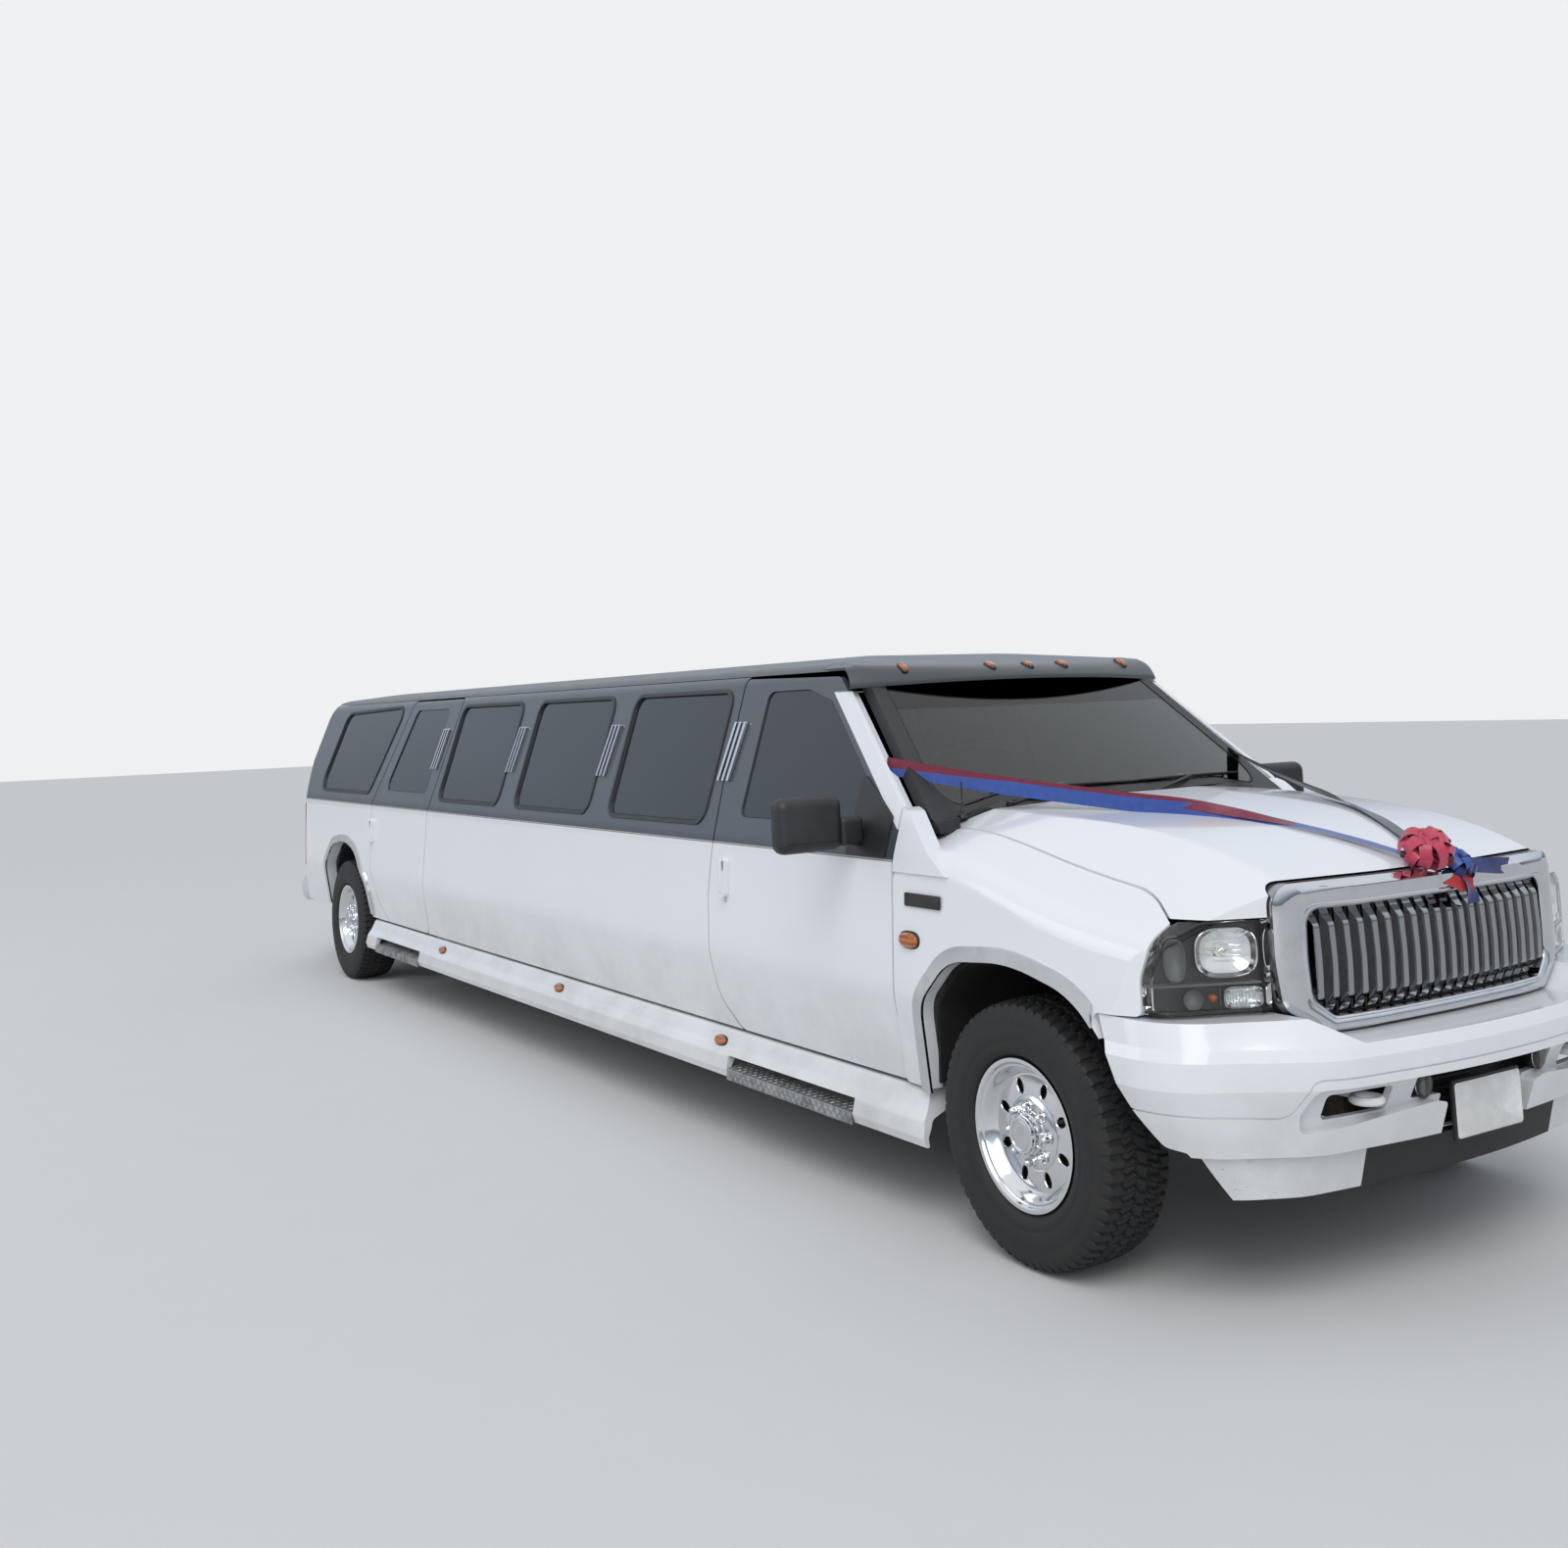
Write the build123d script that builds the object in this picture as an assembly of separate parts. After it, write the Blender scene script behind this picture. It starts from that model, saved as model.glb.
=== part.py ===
"""Stretch limousine on a long utility chassis, in millimetres.

X runs forward, Y to the car's left and Z up. Stations are measured from the front axle, forward positive,
and each piece is shifted on export, so that the origin is the middle of the footprint on the ground.
"""
from build123d import *
import math
import os

# Driving dimensions
wheelbase = 7040
axle_to_origin = 3671
tyre_radius = 397
track_half = 868
kingpin_y = 828
door_gap = 10
wall = 65
skin = 20
roof_wall = 40
glass_depth = 7
glass_thick = 6
pane_gap = 1
screen_thick = 12
seat_gap = 0.3
rear_axle = -wheelbase

floor_top = 640
floor_thick = 40
sill_z = 452
roof_seam_z = 1852

# How far a cutting shape runs out past the body and in from its side, and a station behind the tail
outer_reach = 1100
inner_reach = 600
behind_tail = -8300

# Half outline of the cabin across the car: (y, z, corner radius)
cabin_half = [
    (938, 250, 0),
    (958, 445, 60),
    (1016, 752, 300),
    (1000, 1188, 260),
    (788, 1835, 90),
    (745, 1884, 70),
    (400, 1926, 1500),
]

# Cabin from the side: (x, z, corner radius); the front of it lies ahead of the doors
cabin_side = [
    (300, 250, 0),
    (300, 1770, 0),
    (-1150, 1872, 700),
    (-1900, 1960, 900),
    (-6400, 1960, 900),
    (-7500, 1920, 900),
    (-7950, 1872, 160),
    (-8075, 1780, 120),
    (-8198, 1225, 260),
    (-8198, 250, 0),
]

# Cabin from above: (x, y, corner radius)
tail_x = -8198
corner_radius = 270
cabin_plan = [
    (300, 1022, 0),
    (300, -1022, 0),
    (tail_x - 4, -1022, corner_radius),
    (tail_x - 4, 1022, corner_radius),
]

# Door outlines from the side: (x, z, corner radius)
front_door = [
    (-606, sill_z, 30),
    (-606, 1366, 20),
    (-1180, 1832, 60),
    (-1896, 1844, 25),
    (-1884, 1430, 300),
    (-1852, 1192, 120),
    (-1892, 984, 500),
    (-1884, 700, 300),
    (-1862, 560, 140),
    (-1722, sill_z, 90),
]
rear_door = [
    (-5462, sill_z, 60),
    (-5440, 640, 300),
    (-5366, 1188, 500),
    (-5290, 1844, 25),
    (-6180, 1844, 60),
    (-6452, 1200, 160),
    (-6436, 760, 120),
    (-6360, 560, 220),
    (-6205, sill_z, 60),
]

# Window openings from the side: (x, z, corner radius)
front_glass = [
    (-1690, 1290, 40),
    (-1690, 1787, 40),
    (-1380, 1789, 120),
    (-1200, 1741, 60),
    (-672, 1315, 20),
    (-672, 1290, 12),
]
rear_glass = [
    (-5472, 1284, 40),
    (-5472, 1790, 40),
    (-6082, 1790, 60),
    (-6266, 1284, 60),
]
quarter_glass = [
    (-6590, 1266, 70),
    (-6345, 1812, 60),
    (-7600, 1784, 110),
    (-7740, 1266, 90),
]
# Stretch windows: (front x, rear x)
stretch_windows = [(-1985, -2900), (-3140, -4057), (-4300, -5231)]
stretch_window_z = (1262, 1792)
stretch_corner = 60

# Wheel arches from the side, measured from the axle: (x, z, corner radius)
front_arch = [
    (-462, 200, 0),
    (-436, 735, 160),
    (-290, 886, 200),
    (10, 914, 700),
    (300, 850, 350),
    (500, 640, 150),
    (560, 200, 0),
]
rear_arch = [
    (-470, 200, 0),
    (-436, 735, 160),
    (-270, 890, 200),
    (20, 930, 600),
    (270, 868, 300),
    (450, 660, 200),
    (500, 200, 0),
]
arch_trim_width = 48
arch_trim_proud = 10
# Where each strip ends: spans in X, Y and Z
front_trim_limit = ((-560, 372), (-1100, -850), (440, 1100))
rear_trim_limit = ((-7600, -6500), (-1100, -850), (470, 1100))

# Front end across the car, at stations from the doors to the nose:
# x, (y, z) of the sill, the crease, the shoulder, the hood joint, the hood crest, and the crown
nose_sections = [
    (-598, (955, 445), (1016, 752), (1000, 1172), (806, 1266), (640, 1345), 1382),
    (0, (955, 445), (1018, 752), (998, 1128), (800, 1216), (632, 1322), 1352),
    (420, (955, 445), (1014, 752), (985, 1040), (806, 1136), (618, 1272), 1296),
    (640, (950, 445), (1010, 752), (960, 1010), (812, 1092), (604, 1212), 1234),
    (860, (940, 445), (990, 752), (930, 960), (800, 1010), (580, 1100), 1120),
]
nose_radii = (240, 110, 60, 60, 900)
nose_plan = [
    (-598, 1040, 0),
    (360, 1040, 500),
    (600, 950, 130),
    (735, 660, 300),
    (800, 420, 600),
    (812, 0, 4000),
    (800, -420, 600),
    (735, -660, 300),
    (600, -950, 130),
    (360, -1040, 500),
    (-598, -1040, 0),
]
hood_thick = 32
wing_wall = 42
hood_gap = 8
# Hood from above: (x, y, corner radius); its rear edge is an arc to the middle of the cowl
hood_plan = [(-550, 790, 0), (430, 790, 260), (610, 890, 60), (900, 890, 0)]
hood_rear_middle = -325
lamp_top_z = 1077
lamp_bottom_z = 828
lamp_inner_y = 664
lamp_gap = 6
# Headlamp from the side: (x, z, corner radius)
headlamp_side = [
    (542, lamp_bottom_z, 16),
    (542, 925, 120),
    (568, 1000, 90),
    (576, lamp_top_z, 20),
    (900, lamp_top_z, 0),
    (900, lamp_bottom_z, 0),
]

# Wing from the side: (x, z, corner radius)
wing_side = [
    (-596, sill_z, 20),
    (-596, 1450, 0),
    (660, 1450, 0),
    (660, 1084, 0),
    (569, 1084, 20),
    (561, 1000, 90),
    (535, 925, 120),
    (535, 822, 20),
    (364, 818, 20),
    (486, 562, 60),
    (541, sill_z, 0),
]
# Rise of the wing to the foot of the windscreen pillar, from the side
pillar_foot = [(-596, 1150), (-596, 1362), (-560, 1350, 60), (-420, 1225, 300), (-300, 1150)]

# Windscreen: station of its middle at the foot, its bow back at the sides, and its rake
windscreen_x = -400
windscreen_bow = 104
windscreen_bow_y = 966
windscreen_foot_z = 1290
windscreen_rake = 0.806
# Half outline of the glass from the front: (y, z, corner radius)
windscreen_half = [(540, 1392, 300), (806, 1342, 60), (648, 1828, 60)]
screen_frame_half = [(560, 1364, 300), (884, 1306, 10), (706, 1848, 10)]
# Cowl from the front: half outline of its top (y, z, corner radius), and from the side
cowl_half = [(884, 1273, 0), (884, 1309, 0), (560, 1367, 300)]
cowl_slope = [(-602, 1200), (-602, 1372), (-540, 1372), (-430, 1322, 60), (-320, 1312), (-320, 1200)]

# Grille from the front: half outlines (y, z, corner radius) of its rim and its opening
grille_rim_half = [(515, 757, 40), (640, 830, 60), (657, 960, 600), (655, 1172, 62)]
grille_hole_half = [(480, 798, 40), (545, 850, 50), (552, 960, 600), (548, 1098, 46)]
grille_proud = 10
grille_bars = 20
bar_pitch = 54.5
bar_bow = 42
# A grille bar from the side, with its ends bent back under the rim: (x, z, corner radius)
bar_side = [
    (752, 790, 0),
    (790, 802, 10),
    (802, 824, 18),
    (825, 850, 22),
    (829, 945, 600),
    (824, 1050, 22),
    (801, 1078, 18),
    (790, 1106, 10),
    (752, 1114, 0),
]
# The same bar from above, bevelled to both sides: (x, y)
bar_plan = [(700, -18), (796, -18), (835, -9), (835, 8), (800, 18), (700, 18)]
grille_back = ((690, 702), (-566, 566), (790, 1120))

# Front bumper levels: z, x of its face, half width
bumper_levels = [
    (332, 868, 893),
    (446, 900, 925),
    (454, 938, 955),
    (556, 976, 996),
    (640, 1018, 1026),
    (716, 1018, 1026),
    (748, 1002, 1012),
    (816, 930, 1000),
]
bumper_thick = 64
bumper_ceiling = 724
# What the wheel arch leaves of the bumper's end, from the side: (x, z, corner radius)
bumper_end = [
    (0, 900, 0),
    (380, 900, 0),
    (380, 830, 30),
    (505, 572, 30),
    (573, 476, 30),
    (630, 466, 12),
    (680, 320, 0),
    (0, 320, 0),
]
# Half outlines from the front (y, z, corner radius): the notch under the grille, the edge of the upper cover,
# the recess between the upper cover and the lower roll, the centre opening and a tow hook's opening
bumper_notch_half = [(524, 750, 0), (652, 822, 0), (652, 1000, 0)]
cover_half = [(1100, 300, 0), (1100, 580, 0), (736, 566, 36), (694, 670, 36)]
recess_half = [
    (200, 440, 0),
    (204, 546, 16),
    (256, 557, 30),
    (450, 541, 300),
    (700, 518, 16),
    (712, 570, 50),
    (688, 642, 34),
]
recess_depth = 40
centre_opening_half = [(190, 456, 0), (190, 562, 8), (316, 566, 10), (316, 632, 14)]
hook_opening = [(400, 548, 15), (630, 546, 15), (630, 618, 15), (400, 618, 15)]
groove = 5

tail_half_width = 762
tail_split_z = 1206
tail_foot_z = 612
tail_glass_thick = 30

sides = (("right", -1), ("left", 1))

# Tyre half section: (from the middle, radius, corner radius)
tyre_half = [(98, 210), (101, 228), (120, 236), (131, 272), (132, 325), (127, 362), (112, 387), (60, 397)]
# Rim section: (outward, radius, corner radius) around the wheel's axis
rim_section = [
    (-114, 222), (-105, 222), (-99, 207), (-40, 203), (-24, 182), (60, 182), (90, 206), (105, 207), (109, 224),
    (117, 224), (113, 200), (98, 196), (70, 172), (-28, 172), (-46, 193), (-108, 198),
]
disc_out = 72
disc_thick = 10
lug_circle = 85
lug_count = 8

# Frame rail from the side: bottom stations (x, z)
rail_bottom = [(770, 500), (520, 500), (380, 524), (-420, 524), (-700, 452), (-6250, 452), (-6520, 524),
               (-7560, 524), (-7780, 470), (-8130, 470)]
rail_top_z = 596
rail_y = (385, 445)
spring_y = (450, 508)
cross_members = [640, -780, -1660, -2540, -3420, -4300, -5180, -6060, -6640, -7480, -8080]

# Roof from above: (x, y, corner radius)
roof_plan = [
    (behind_tail, -1000, 0),
    (-1205, -1000, 0),
    (-1060, 0, 3500),
    (-1205, 1000, 0),
    (behind_tail, 1000, 0),
]
roof_joint = 3
tail_joint = 4

# Raised plates that carry the door handles, from the side
front_handle = [(-1726, 972, 18), (-1726, 1130, 18), (-1766, 1130, 18), (-1766, 972, 18)]
rear_handle = [(-6390, 942, 18), (-6390, 1100, 18), (-6430, 1100, 18), (-6430, 942, 18)]
handle_proud = 24
frame_width = 16
frame_proud = 6

# Chrome louvres on the pillars, three leaning bars at each station; the first and last lie on the doors
louvre_stations = {"front_door": -1863, "first_pillar": -3055, "second_pillar": -4217, "rear_door": -5425}
louvre_z = (1428, 1669)
louvre_lean = 34
louvre_spacing = 38
louvre_half_width = 9
louvre_radius = 6
louvre_proud = 14
door_clearance = 5

# Tow hook: its eye's middle, the eye's section (radius, height), and the shank's spans beside the rail
hook_eye = (878, -478, 586)
hook_section = [(27, -5), (33, -11), (43, -11), (49, -5), (49, 5), (43, 11), (33, 11), (27, 5)]
hook_shank = ((735, 848), (-466, -rail_y[1]), (575, 597))

# Chassis: half lengths and heights of the cross members and of the outriggers that carry the stretched body
member_half = 32
member_z = (532, 592)
outrigger_half = 25
outrigger_z = (540, 592)
outrigger_y = 905
receiver = ((-8180, -8060), (-32, 32), (388, 452))
receiver_bore = ((-8200, -8000), (-25.4, 25.4), (394.6, 445.4))
hitch_bar = ((-8110, -8070), (-rail_y[0], rail_y[0]), (452, 500))

# Floor and the bulkhead at its front: spans in X, Y and Z
floor_blocks = [
    ((-8000, -612), (-915, 915), (floor_top - floor_thick, floor_top)),
    ((-652, -612), (-915, 915), (floor_top - floor_thick, 1180)),
    ((-652, -612), (-870, 870), (1179, 1270)),
]
housing_thick = 12
housing_foot = 470
# Wheel housings: distances from the middle of their inner and outer sides
front_housing_y = (560, 955)
rear_housing_y = (690, 935)

# Leaf springs from the side, measured from the axle: (x, z, corner radius)
spring_side = [(-600, 512, 0), (0, 446, 2600), (600, 512, 0), (600, 520, 0), (0, 494, 2600), (-600, 520, 0)]
spring_seat_half = 60

# Front axle beam: half outline from the front (y, z, corner radius), its half depth, and the kingpin's eye
beam_half = [(560, 330, 60), (640, 372, 60), (780, 372, 0), (780, 424, 0), (640, 424, 60), (560, 384, 60)]
beam_depth = 38
eye_radius = 34
eye_z = (352, 442)
beam_arm = ((-26, 26), (770, 812), (372, 424))

# Rear axle: radii, and distances from the middle where each part ends
tube_radius = 46
tube_end_y = 800
case_radius = 122
pinion_radius = 58
pinion_reach = 250
drum_radius = 150
drum_end_y = 912
hub_radius = 62
hub_end_y = 928

# Drive shaft: joints (x, z) from the gearbox to the rear axle
shaft_route = [(-1480, 462), (-3300, 452), (-5100, 432), (-6788, 397)]
shaft_radius = 40
shaft_gap = 6

# Engine and gearbox as plain blocks, and the steered knuckle on the right: spans in X, Y and Z
engine = ((-560, 420), (-300, 300), (500, 1080))
gearbox = ((-1480, -555), (-150, 150), (400, 526))
knuckle_blocks = [
    ((-60, 60), (-889, -872), (300, 500)),
    ((-34, 34), (-880, -796), (322, 346)),
    ((-34, 34), (-880, -796), (450, 474)),
]
brake_radius = 158
brake_y = (-886, -911)
front_hub_y = (-905, -929)

# Wheel disc section (outward, radius) around the wheel's axis, and its round holes
disc_section = [
    (disc_out - disc_thick, 0.5), (disc_out - disc_thick, 176), (disc_out, 176), (disc_out, 110),
    (disc_out + 6, 100), (disc_out + 6, 66), (disc_out + 34, 60), (disc_out + 36, 0.5),
]
disc_hole_circle = 139
disc_hole_radius = 20
nut_radius = 13
nut_height = 32
plug_radius = 4

# Running boards: sections (y, z, corner radius) on the right, and where they are cut for the steps
board_section = [
    (-900, 440, 0),
    (-962, 440, 20),
    (-990, 384, 30),
    (-1016, 350, 30),
    (-1028, 300, 12),
    (-1018, 270, 4),
    (-1006, 270, 4),
    (-1008, 300, 10),
    (-980, 352, 30),
    (-900, 380, 0),
]
board_span = (-447, -6500)
board_front_cut = [
    (-500, 470, 0),
    (-488, 440, 10),
    (-452, 330, 20),
    (-444, 250, 0),
    (-300, 250, 0),
    (-300, 470, 0),
]
step_spans = [(-868, -1752), (-5480, -6300)]
step_section = [
    (-900, 330, 0),
    (-1026, 304, 6),
    (-1030, 262, 4),
    (-1022, 262, 0),
    (-1018, 294, 6),
    (-900, 318, 0),
]
step_riser = ((-902, -896), (318, 440))
step_notch = [(-880, 386, 0), (-1040, 346, 0), (-1060, 250, 0), (-880, 250, 0)]
step_gap = 4

# Visor over the windscreen: its profile (x, z), and how far it lies back and drops at places across the car
visor_profile = [
    (-1352, 1900), (-1180, 1893), (-1040, 1868), (-950, 1812), (-962, 1808), (-1050, 1858), (-1180, 1880),
    (-1352, 1888),
]
visor_places = [(-786, -176, -42), (-420, -52, -6), (0, 0, 6), (420, -52, -6), (786, -176, -42)]

# Door mirror on the right: spans of its head and stem with their edge radii, and its sail from the side
mirror_head = ((-862, -774), (-1336, -1070), (1216, 1408))
mirror_head_radius = 38
mirror_stem = ((-840, -776), (-1082, -985), (1228, 1330))
mirror_stem_radius = 18
sail_side = [(-640, 1194, 10), (-640, 1330, 10), (-870, 1480, 20), (-880, 1194, 10)]
sail_proud = 8

# Rear bumper: levels (z, how far in), and its plan at the fullest level: (x, half width, corner radius)
rear_bumper_levels = [(428, 26), (470, 4), (570, 0), (604, 14)]
rear_bumper_ends = (-8090, 1008)
rear_bumper_corner = (-8250, 1004, 140)
rear_bumper_face = (-8330, 600, 200)
rear_bumper_back_x = -8204

# Lamps: spans of the tail lamps, the lamps on the board and the wing's marker, and those on the visor
tail_lamp_zone = ((behind_tail, -8060), (-1100, -800), (700, 1150))
board_lamp_stations = [-1880, -3540, -5180]
board_lamp_half = 42
board_lamp_y = (-1004, -984)
board_lamp_z = (368, 392)
wing_marker = [(-553, 914, 17), (-553, 948, 17), (-453, 948, 17), (-453, 914, 17)]
visor_lamp_places = (-580, -190, 0, 190, 580)
visor_lamp_size = (48, 90, 40)
visor_lamp_top = (-1120, 1896)

# Inside, from the side: (x, z, corner radius), and the steering wheel's middle, tilt and radii
dash_side = [
    (-655, 700, 0),
    (-655, 1190, 0),
    (-720, 1226, 60),
    (-930, 1196, 60),
    (-990, 1090, 60),
    (-960, 880, 60),
    (-800, 700, 0),
]
dash_half_width = 860
wheel_middle = (-1110, 400, 1120)
wheel_tilt = (-0.9, 0, 0.45)
wheel_hoop = (186, 14)
wheel_boss = (52, 26)
column_radius = 24
column_length = 170
# Front seat from the side, about its station: (x, z, corner radius)
seat_side = [
    (250, 650, 0),
    (250, 760, 20),
    (290, 860, 50),
    (240, 950, 60),
    (-180, 920, 60),
    (-330, 1560, 40),
    (-430, 1580, 40),
    (-400, 1100, 200),
    (-300, 820, 100),
    (-260, 650, 0),
]
seat_x = -1530
seat_y = 430
seat_width = 540
# Lounge bench along the left side from the front, and the rear bench from the side
side_bench_section = [
    (905, 650, 0),
    (905, 700, 0),
    (868, 1190, 60),
    (770, 1200, 50),
    (700, 960, 60),
    (330, 950, 50),
    (320, 850, 40),
    (380, 650, 0),
]
side_bench_span = (-5900, -2250)
rear_bench_side = [
    (-6250, 650, 0),
    (-6210, 850, 40),
    (-6220, 950, 50),
    (-6600, 960, 60),
    (-6720, 1250, 50),
    (-6810, 1240, 50),
    (-6790, 650, 0),
]
rear_bench_half = 660
fuel_tank = ((-6350, -5350), (-360, -60), (300, 500))
fuel_tank_radius = 40

# Wedding ribbon on the right, from the front door's pillar to the bow, cut where the hood parts: (x, y, z)
ribbon_route = [
    (-664, -836, 1446),
    (-330, -700, 1404),
    (160, -450, 1352),
    (420, -285, 1318),
    (600, -180, 1282),
    (742, -84, 1240),
]
ribbon_split = (-520, -478)
ribbon_rise = (0, 10, 40)
ribbon_thick = (0.6, 1.2, 0)
bow_middle = (762, 0, 1262)
bow_core_radius = 46
bow_loop_radius = 36
bow_ring = (70, 50)


def outline(corners):
    """A face of straight runs, where a corner (u, v, radius) is rounded by its radius."""
    spots = [Vector(corner[0], corner[1]) for corner in corners]
    turns = []
    for i, corner in enumerate(corners):
        here = spots[i]
        back = (spots[i - 1] - here).normalized()
        ahead = (spots[(i + 1) % len(spots)] - here).normalized()
        radius = corner[2] if len(corner) > 2 else 0
        half = math.radians(back.get_angle(ahead)) / 2
        if not radius or half > math.radians(89.9):
            turns.append((here, None, here))
            continue
        reach = radius / math.tan(half)
        middle = here + (back + ahead).normalized() * (radius / math.sin(half) - radius)
        turns.append((here + back * reach, middle, here + ahead * reach))
    edges = []
    for i, (start, middle, end) in enumerate(turns):
        if middle is not None:
            edges.append(ThreePointArc(start, middle, end))
        following = turns[(i + 1) % len(turns)][0]
        run = spots[(i + 1) % len(spots)] - spots[i]
        if (following - end).dot(run) < -0.001:
            raise ValueError(f"the corners at {corners[i]} and after it are too round for their run")
        if (following - end).length > 0.001:
            edges.append(Line(end, following))
    return Face(Wire(edges))


def grown(corners, by):
    """The same outline with every side moved outward by a distance, or inward if it is negative."""
    spots = [Vector(corner[0], corner[1]) for corner in corners]
    count = len(spots)
    area = sum(spots[i - 1].X * spots[i].Y - spots[i].X * spots[i - 1].Y for i in range(count))
    turn = 1 if area > 0 else -1
    result = []
    for i, corner in enumerate(corners):
        before = (spots[i] - spots[i - 1]).normalized()
        after = (spots[(i + 1) % count] - spots[i]).normalized()
        out_a = Vector(before.Y, -before.X) * turn
        out_b = Vector(after.Y, -after.X) * turn
        middle = (out_a + out_b).normalized()
        moved = spots[i] + middle * (by / middle.dot(out_a))
        bends_out = before.X * after.Y - before.Y * after.X > 0
        change = by if bends_out == (turn > 0) else -by
        radius = max(corner[2] + change, 1) if len(corner) > 2 and corner[2] else 0
        result.append((moved.X, moved.Y, radius))
    return result


def across(corners, y_from, y_to):
    """An outline of X and Z carried from one Y to another."""
    place = Plane(origin=(0, y_from, 0), x_dir=(1, 0, 0), z_dir=(0, -1, 0))
    return Solid.extrude(place * outline(corners), Vector(0, y_to - y_from, 0))


def along(corners, x_from, x_to):
    """An outline of Y and Z carried from one X to another."""
    place = Plane(origin=(x_from, 0, 0), x_dir=(0, 1, 0), z_dir=(1, 0, 0))
    return Solid.extrude(place * outline(corners), Vector(x_to - x_from, 0, 0))


def upward(corners, z_from, z_to):
    """An outline of X and Y carried from one Z to another."""
    return Solid.extrude(Pos(0, 0, z_from) * outline(corners), Vector(0, 0, z_to - z_from))


def block(x_span, y_span, z_span):
    """A box between two values on each axis."""
    spans = (x_span, y_span, z_span)
    size = [abs(span[1] - span[0]) for span in spans]
    middle = [(span[0] + span[1]) / 2 for span in spans]
    return Pos(*middle) * Box(*size)


def rectangle(x_span, z_span, radius):
    """Corners of a rounded rectangle, to use as an outline."""
    return [
        (x_span[0], z_span[0], radius),
        (x_span[0], z_span[1], radius),
        (x_span[1], z_span[1], radius),
        (x_span[1], z_span[0], radius),
    ]


def both_sides(half):
    """A half outline (y, z, radius) closed by its mirror image."""
    return half + [(-y, z, radius) for y, z, radius in reversed(half)]


def both_rows(right):
    """A plan's right half (x, y, radius) closed by its mirror image."""
    return right + [(x, -y, radius) for x, y, radius in reversed(right)]


def other_side(shape):
    return mirror(shape, about=Plane.XZ)


def shifted(corners, by):
    return [(corner[0] + by, *corner[1:]) for corner in corners]


def joined(shapes):
    """One shape from several that touch or overlap."""
    result = shapes[0]
    for shape in shapes[1:]:
        result = result + shape
    return result


def group(shapes):
    """Solids that don't touch, kept together."""
    return Compound([solid for shape in shapes for solid in shape.solids()])


def biggest(shape):
    return max(shape.solids(), key=lambda solid: solid.volume)


def part_where(shape, test):
    """The solids of a shape whose middle passes a test."""
    return group([solid for solid in shape.solids() if test(solid.bounding_box().center())])


def cabin_form(depth):
    """The cabin's outside, with every face moved inward by a depth."""
    body = along(grown(both_sides(cabin_half), -depth), 300, tail_x - 20)
    body = body & across(grown(cabin_side, -depth), -outer_reach, outer_reach)
    return body & upward(grown(cabin_plan, -depth), 200, 2000)


def nose_section(station, inset):
    """One section of the front end, moved inward by an inset."""
    x, sill, crease, shoulder, joint, crest, crown = station
    half = [
        (sill[0], 250, 0),
        (crease[0], crease[1], nose_radii[0]),
        (shoulder[0], shoulder[1], nose_radii[1]),
        (joint[0], joint[1], nose_radii[2]),
        (crest[0], crest[1], nose_radii[3]),
        (220, crown, nose_radii[4]),
    ]
    place = Plane(origin=(x, 0, 0), x_dir=(0, 1, 0), z_dir=(1, 0, 0))
    return place * outline(grown(both_sides(half), -inset) if inset else both_sides(half))


def nose_form(inset):
    body = Solid.make_loft([nose_section(s, inset).outer_wire() for s in nose_sections])
    return body & upward(grown(nose_plan, -inset) if inset else nose_plan, 200, 1500)


def hood_prism(by):
    """The hood's plan, moved outward by a distance, as a tall prism with an arc for its rear edge."""
    rear_x, half = hood_plan[0][:2]
    bow = hood_rear_middle - rear_x
    arc_radius = (half ** 2 + bow ** 2) / (2 * bow)
    arc_middle = hood_rear_middle - arc_radius
    corner_y = half + by
    corner_x = arc_middle + math.sqrt((arc_radius - by) ** 2 - corner_y ** 2)
    right = [(x, -y - by, radius) for x, y, radius in hood_plan[1:]]
    left = [(x, -y, radius) for x, y, radius in reversed(right)]
    straight = upward([(corner_x, -corner_y, 0)] + right + left + [(corner_x, corner_y, 0)], 800, 1500)
    arc = ThreePointArc((corner_x, corner_y), (hood_rear_middle - by, 0), (corner_x, -corner_y))
    bay = Face(Wire([arc, Line((corner_x, -corner_y), (corner_x, corner_y))]))
    return straight - Solid.extrude(Pos(0, 0, 800) * bay, Vector(0, 0, 700))


def raked_band(proud, thick, z_from, z_to):
    """A bowed sheet on the windscreen's rake, its face a distance ahead of the glass."""
    foot = windscreen_x - (z_from - windscreen_foot_z) / windscreen_rake
    half = windscreen_bow_y
    front = foot + proud
    rear = front - thick
    front_side = front - windscreen_bow
    rear_side = rear - windscreen_bow
    edges = [
        ThreePointArc((front_side, -half), (front, 0), (front_side, half)),
        Line((front_side, half), (rear_side, half)),
        ThreePointArc((rear_side, half), (rear, 0), (rear_side, -half)),
        Line((rear_side, -half), (front_side, -half)),
    ]
    rise = z_to - z_from
    return Solid.extrude(Pos(0, 0, z_from) * Face(Wire(edges)), Vector(-rise / windscreen_rake, 0, rise))

def through_right(corners):
    """An outline of X and Z carried through the right side of the body."""
    return across(corners, -outer_reach, -inner_reach)


def round_face(radius):
    return Face(Wire([Edge.make_circle(radius)]))


def turned(radius, y_from, y_to, x=0, z=tyre_radius):
    """A round bar along Y."""
    place = Plane(origin=(x, y_from, z), x_dir=(1, 0, 0), z_dir=(0, 1 if y_to > y_from else -1, 0))
    return Solid.extrude(place * round_face(radius), Vector(0, y_to - y_from, 0))


def upright(radius, z_from, z_to, x, y):
    """A round bar along Z."""
    return Solid.extrude(Pos(x, y, z_from) * round_face(radius), Vector(0, 0, z_to - z_from))


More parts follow.
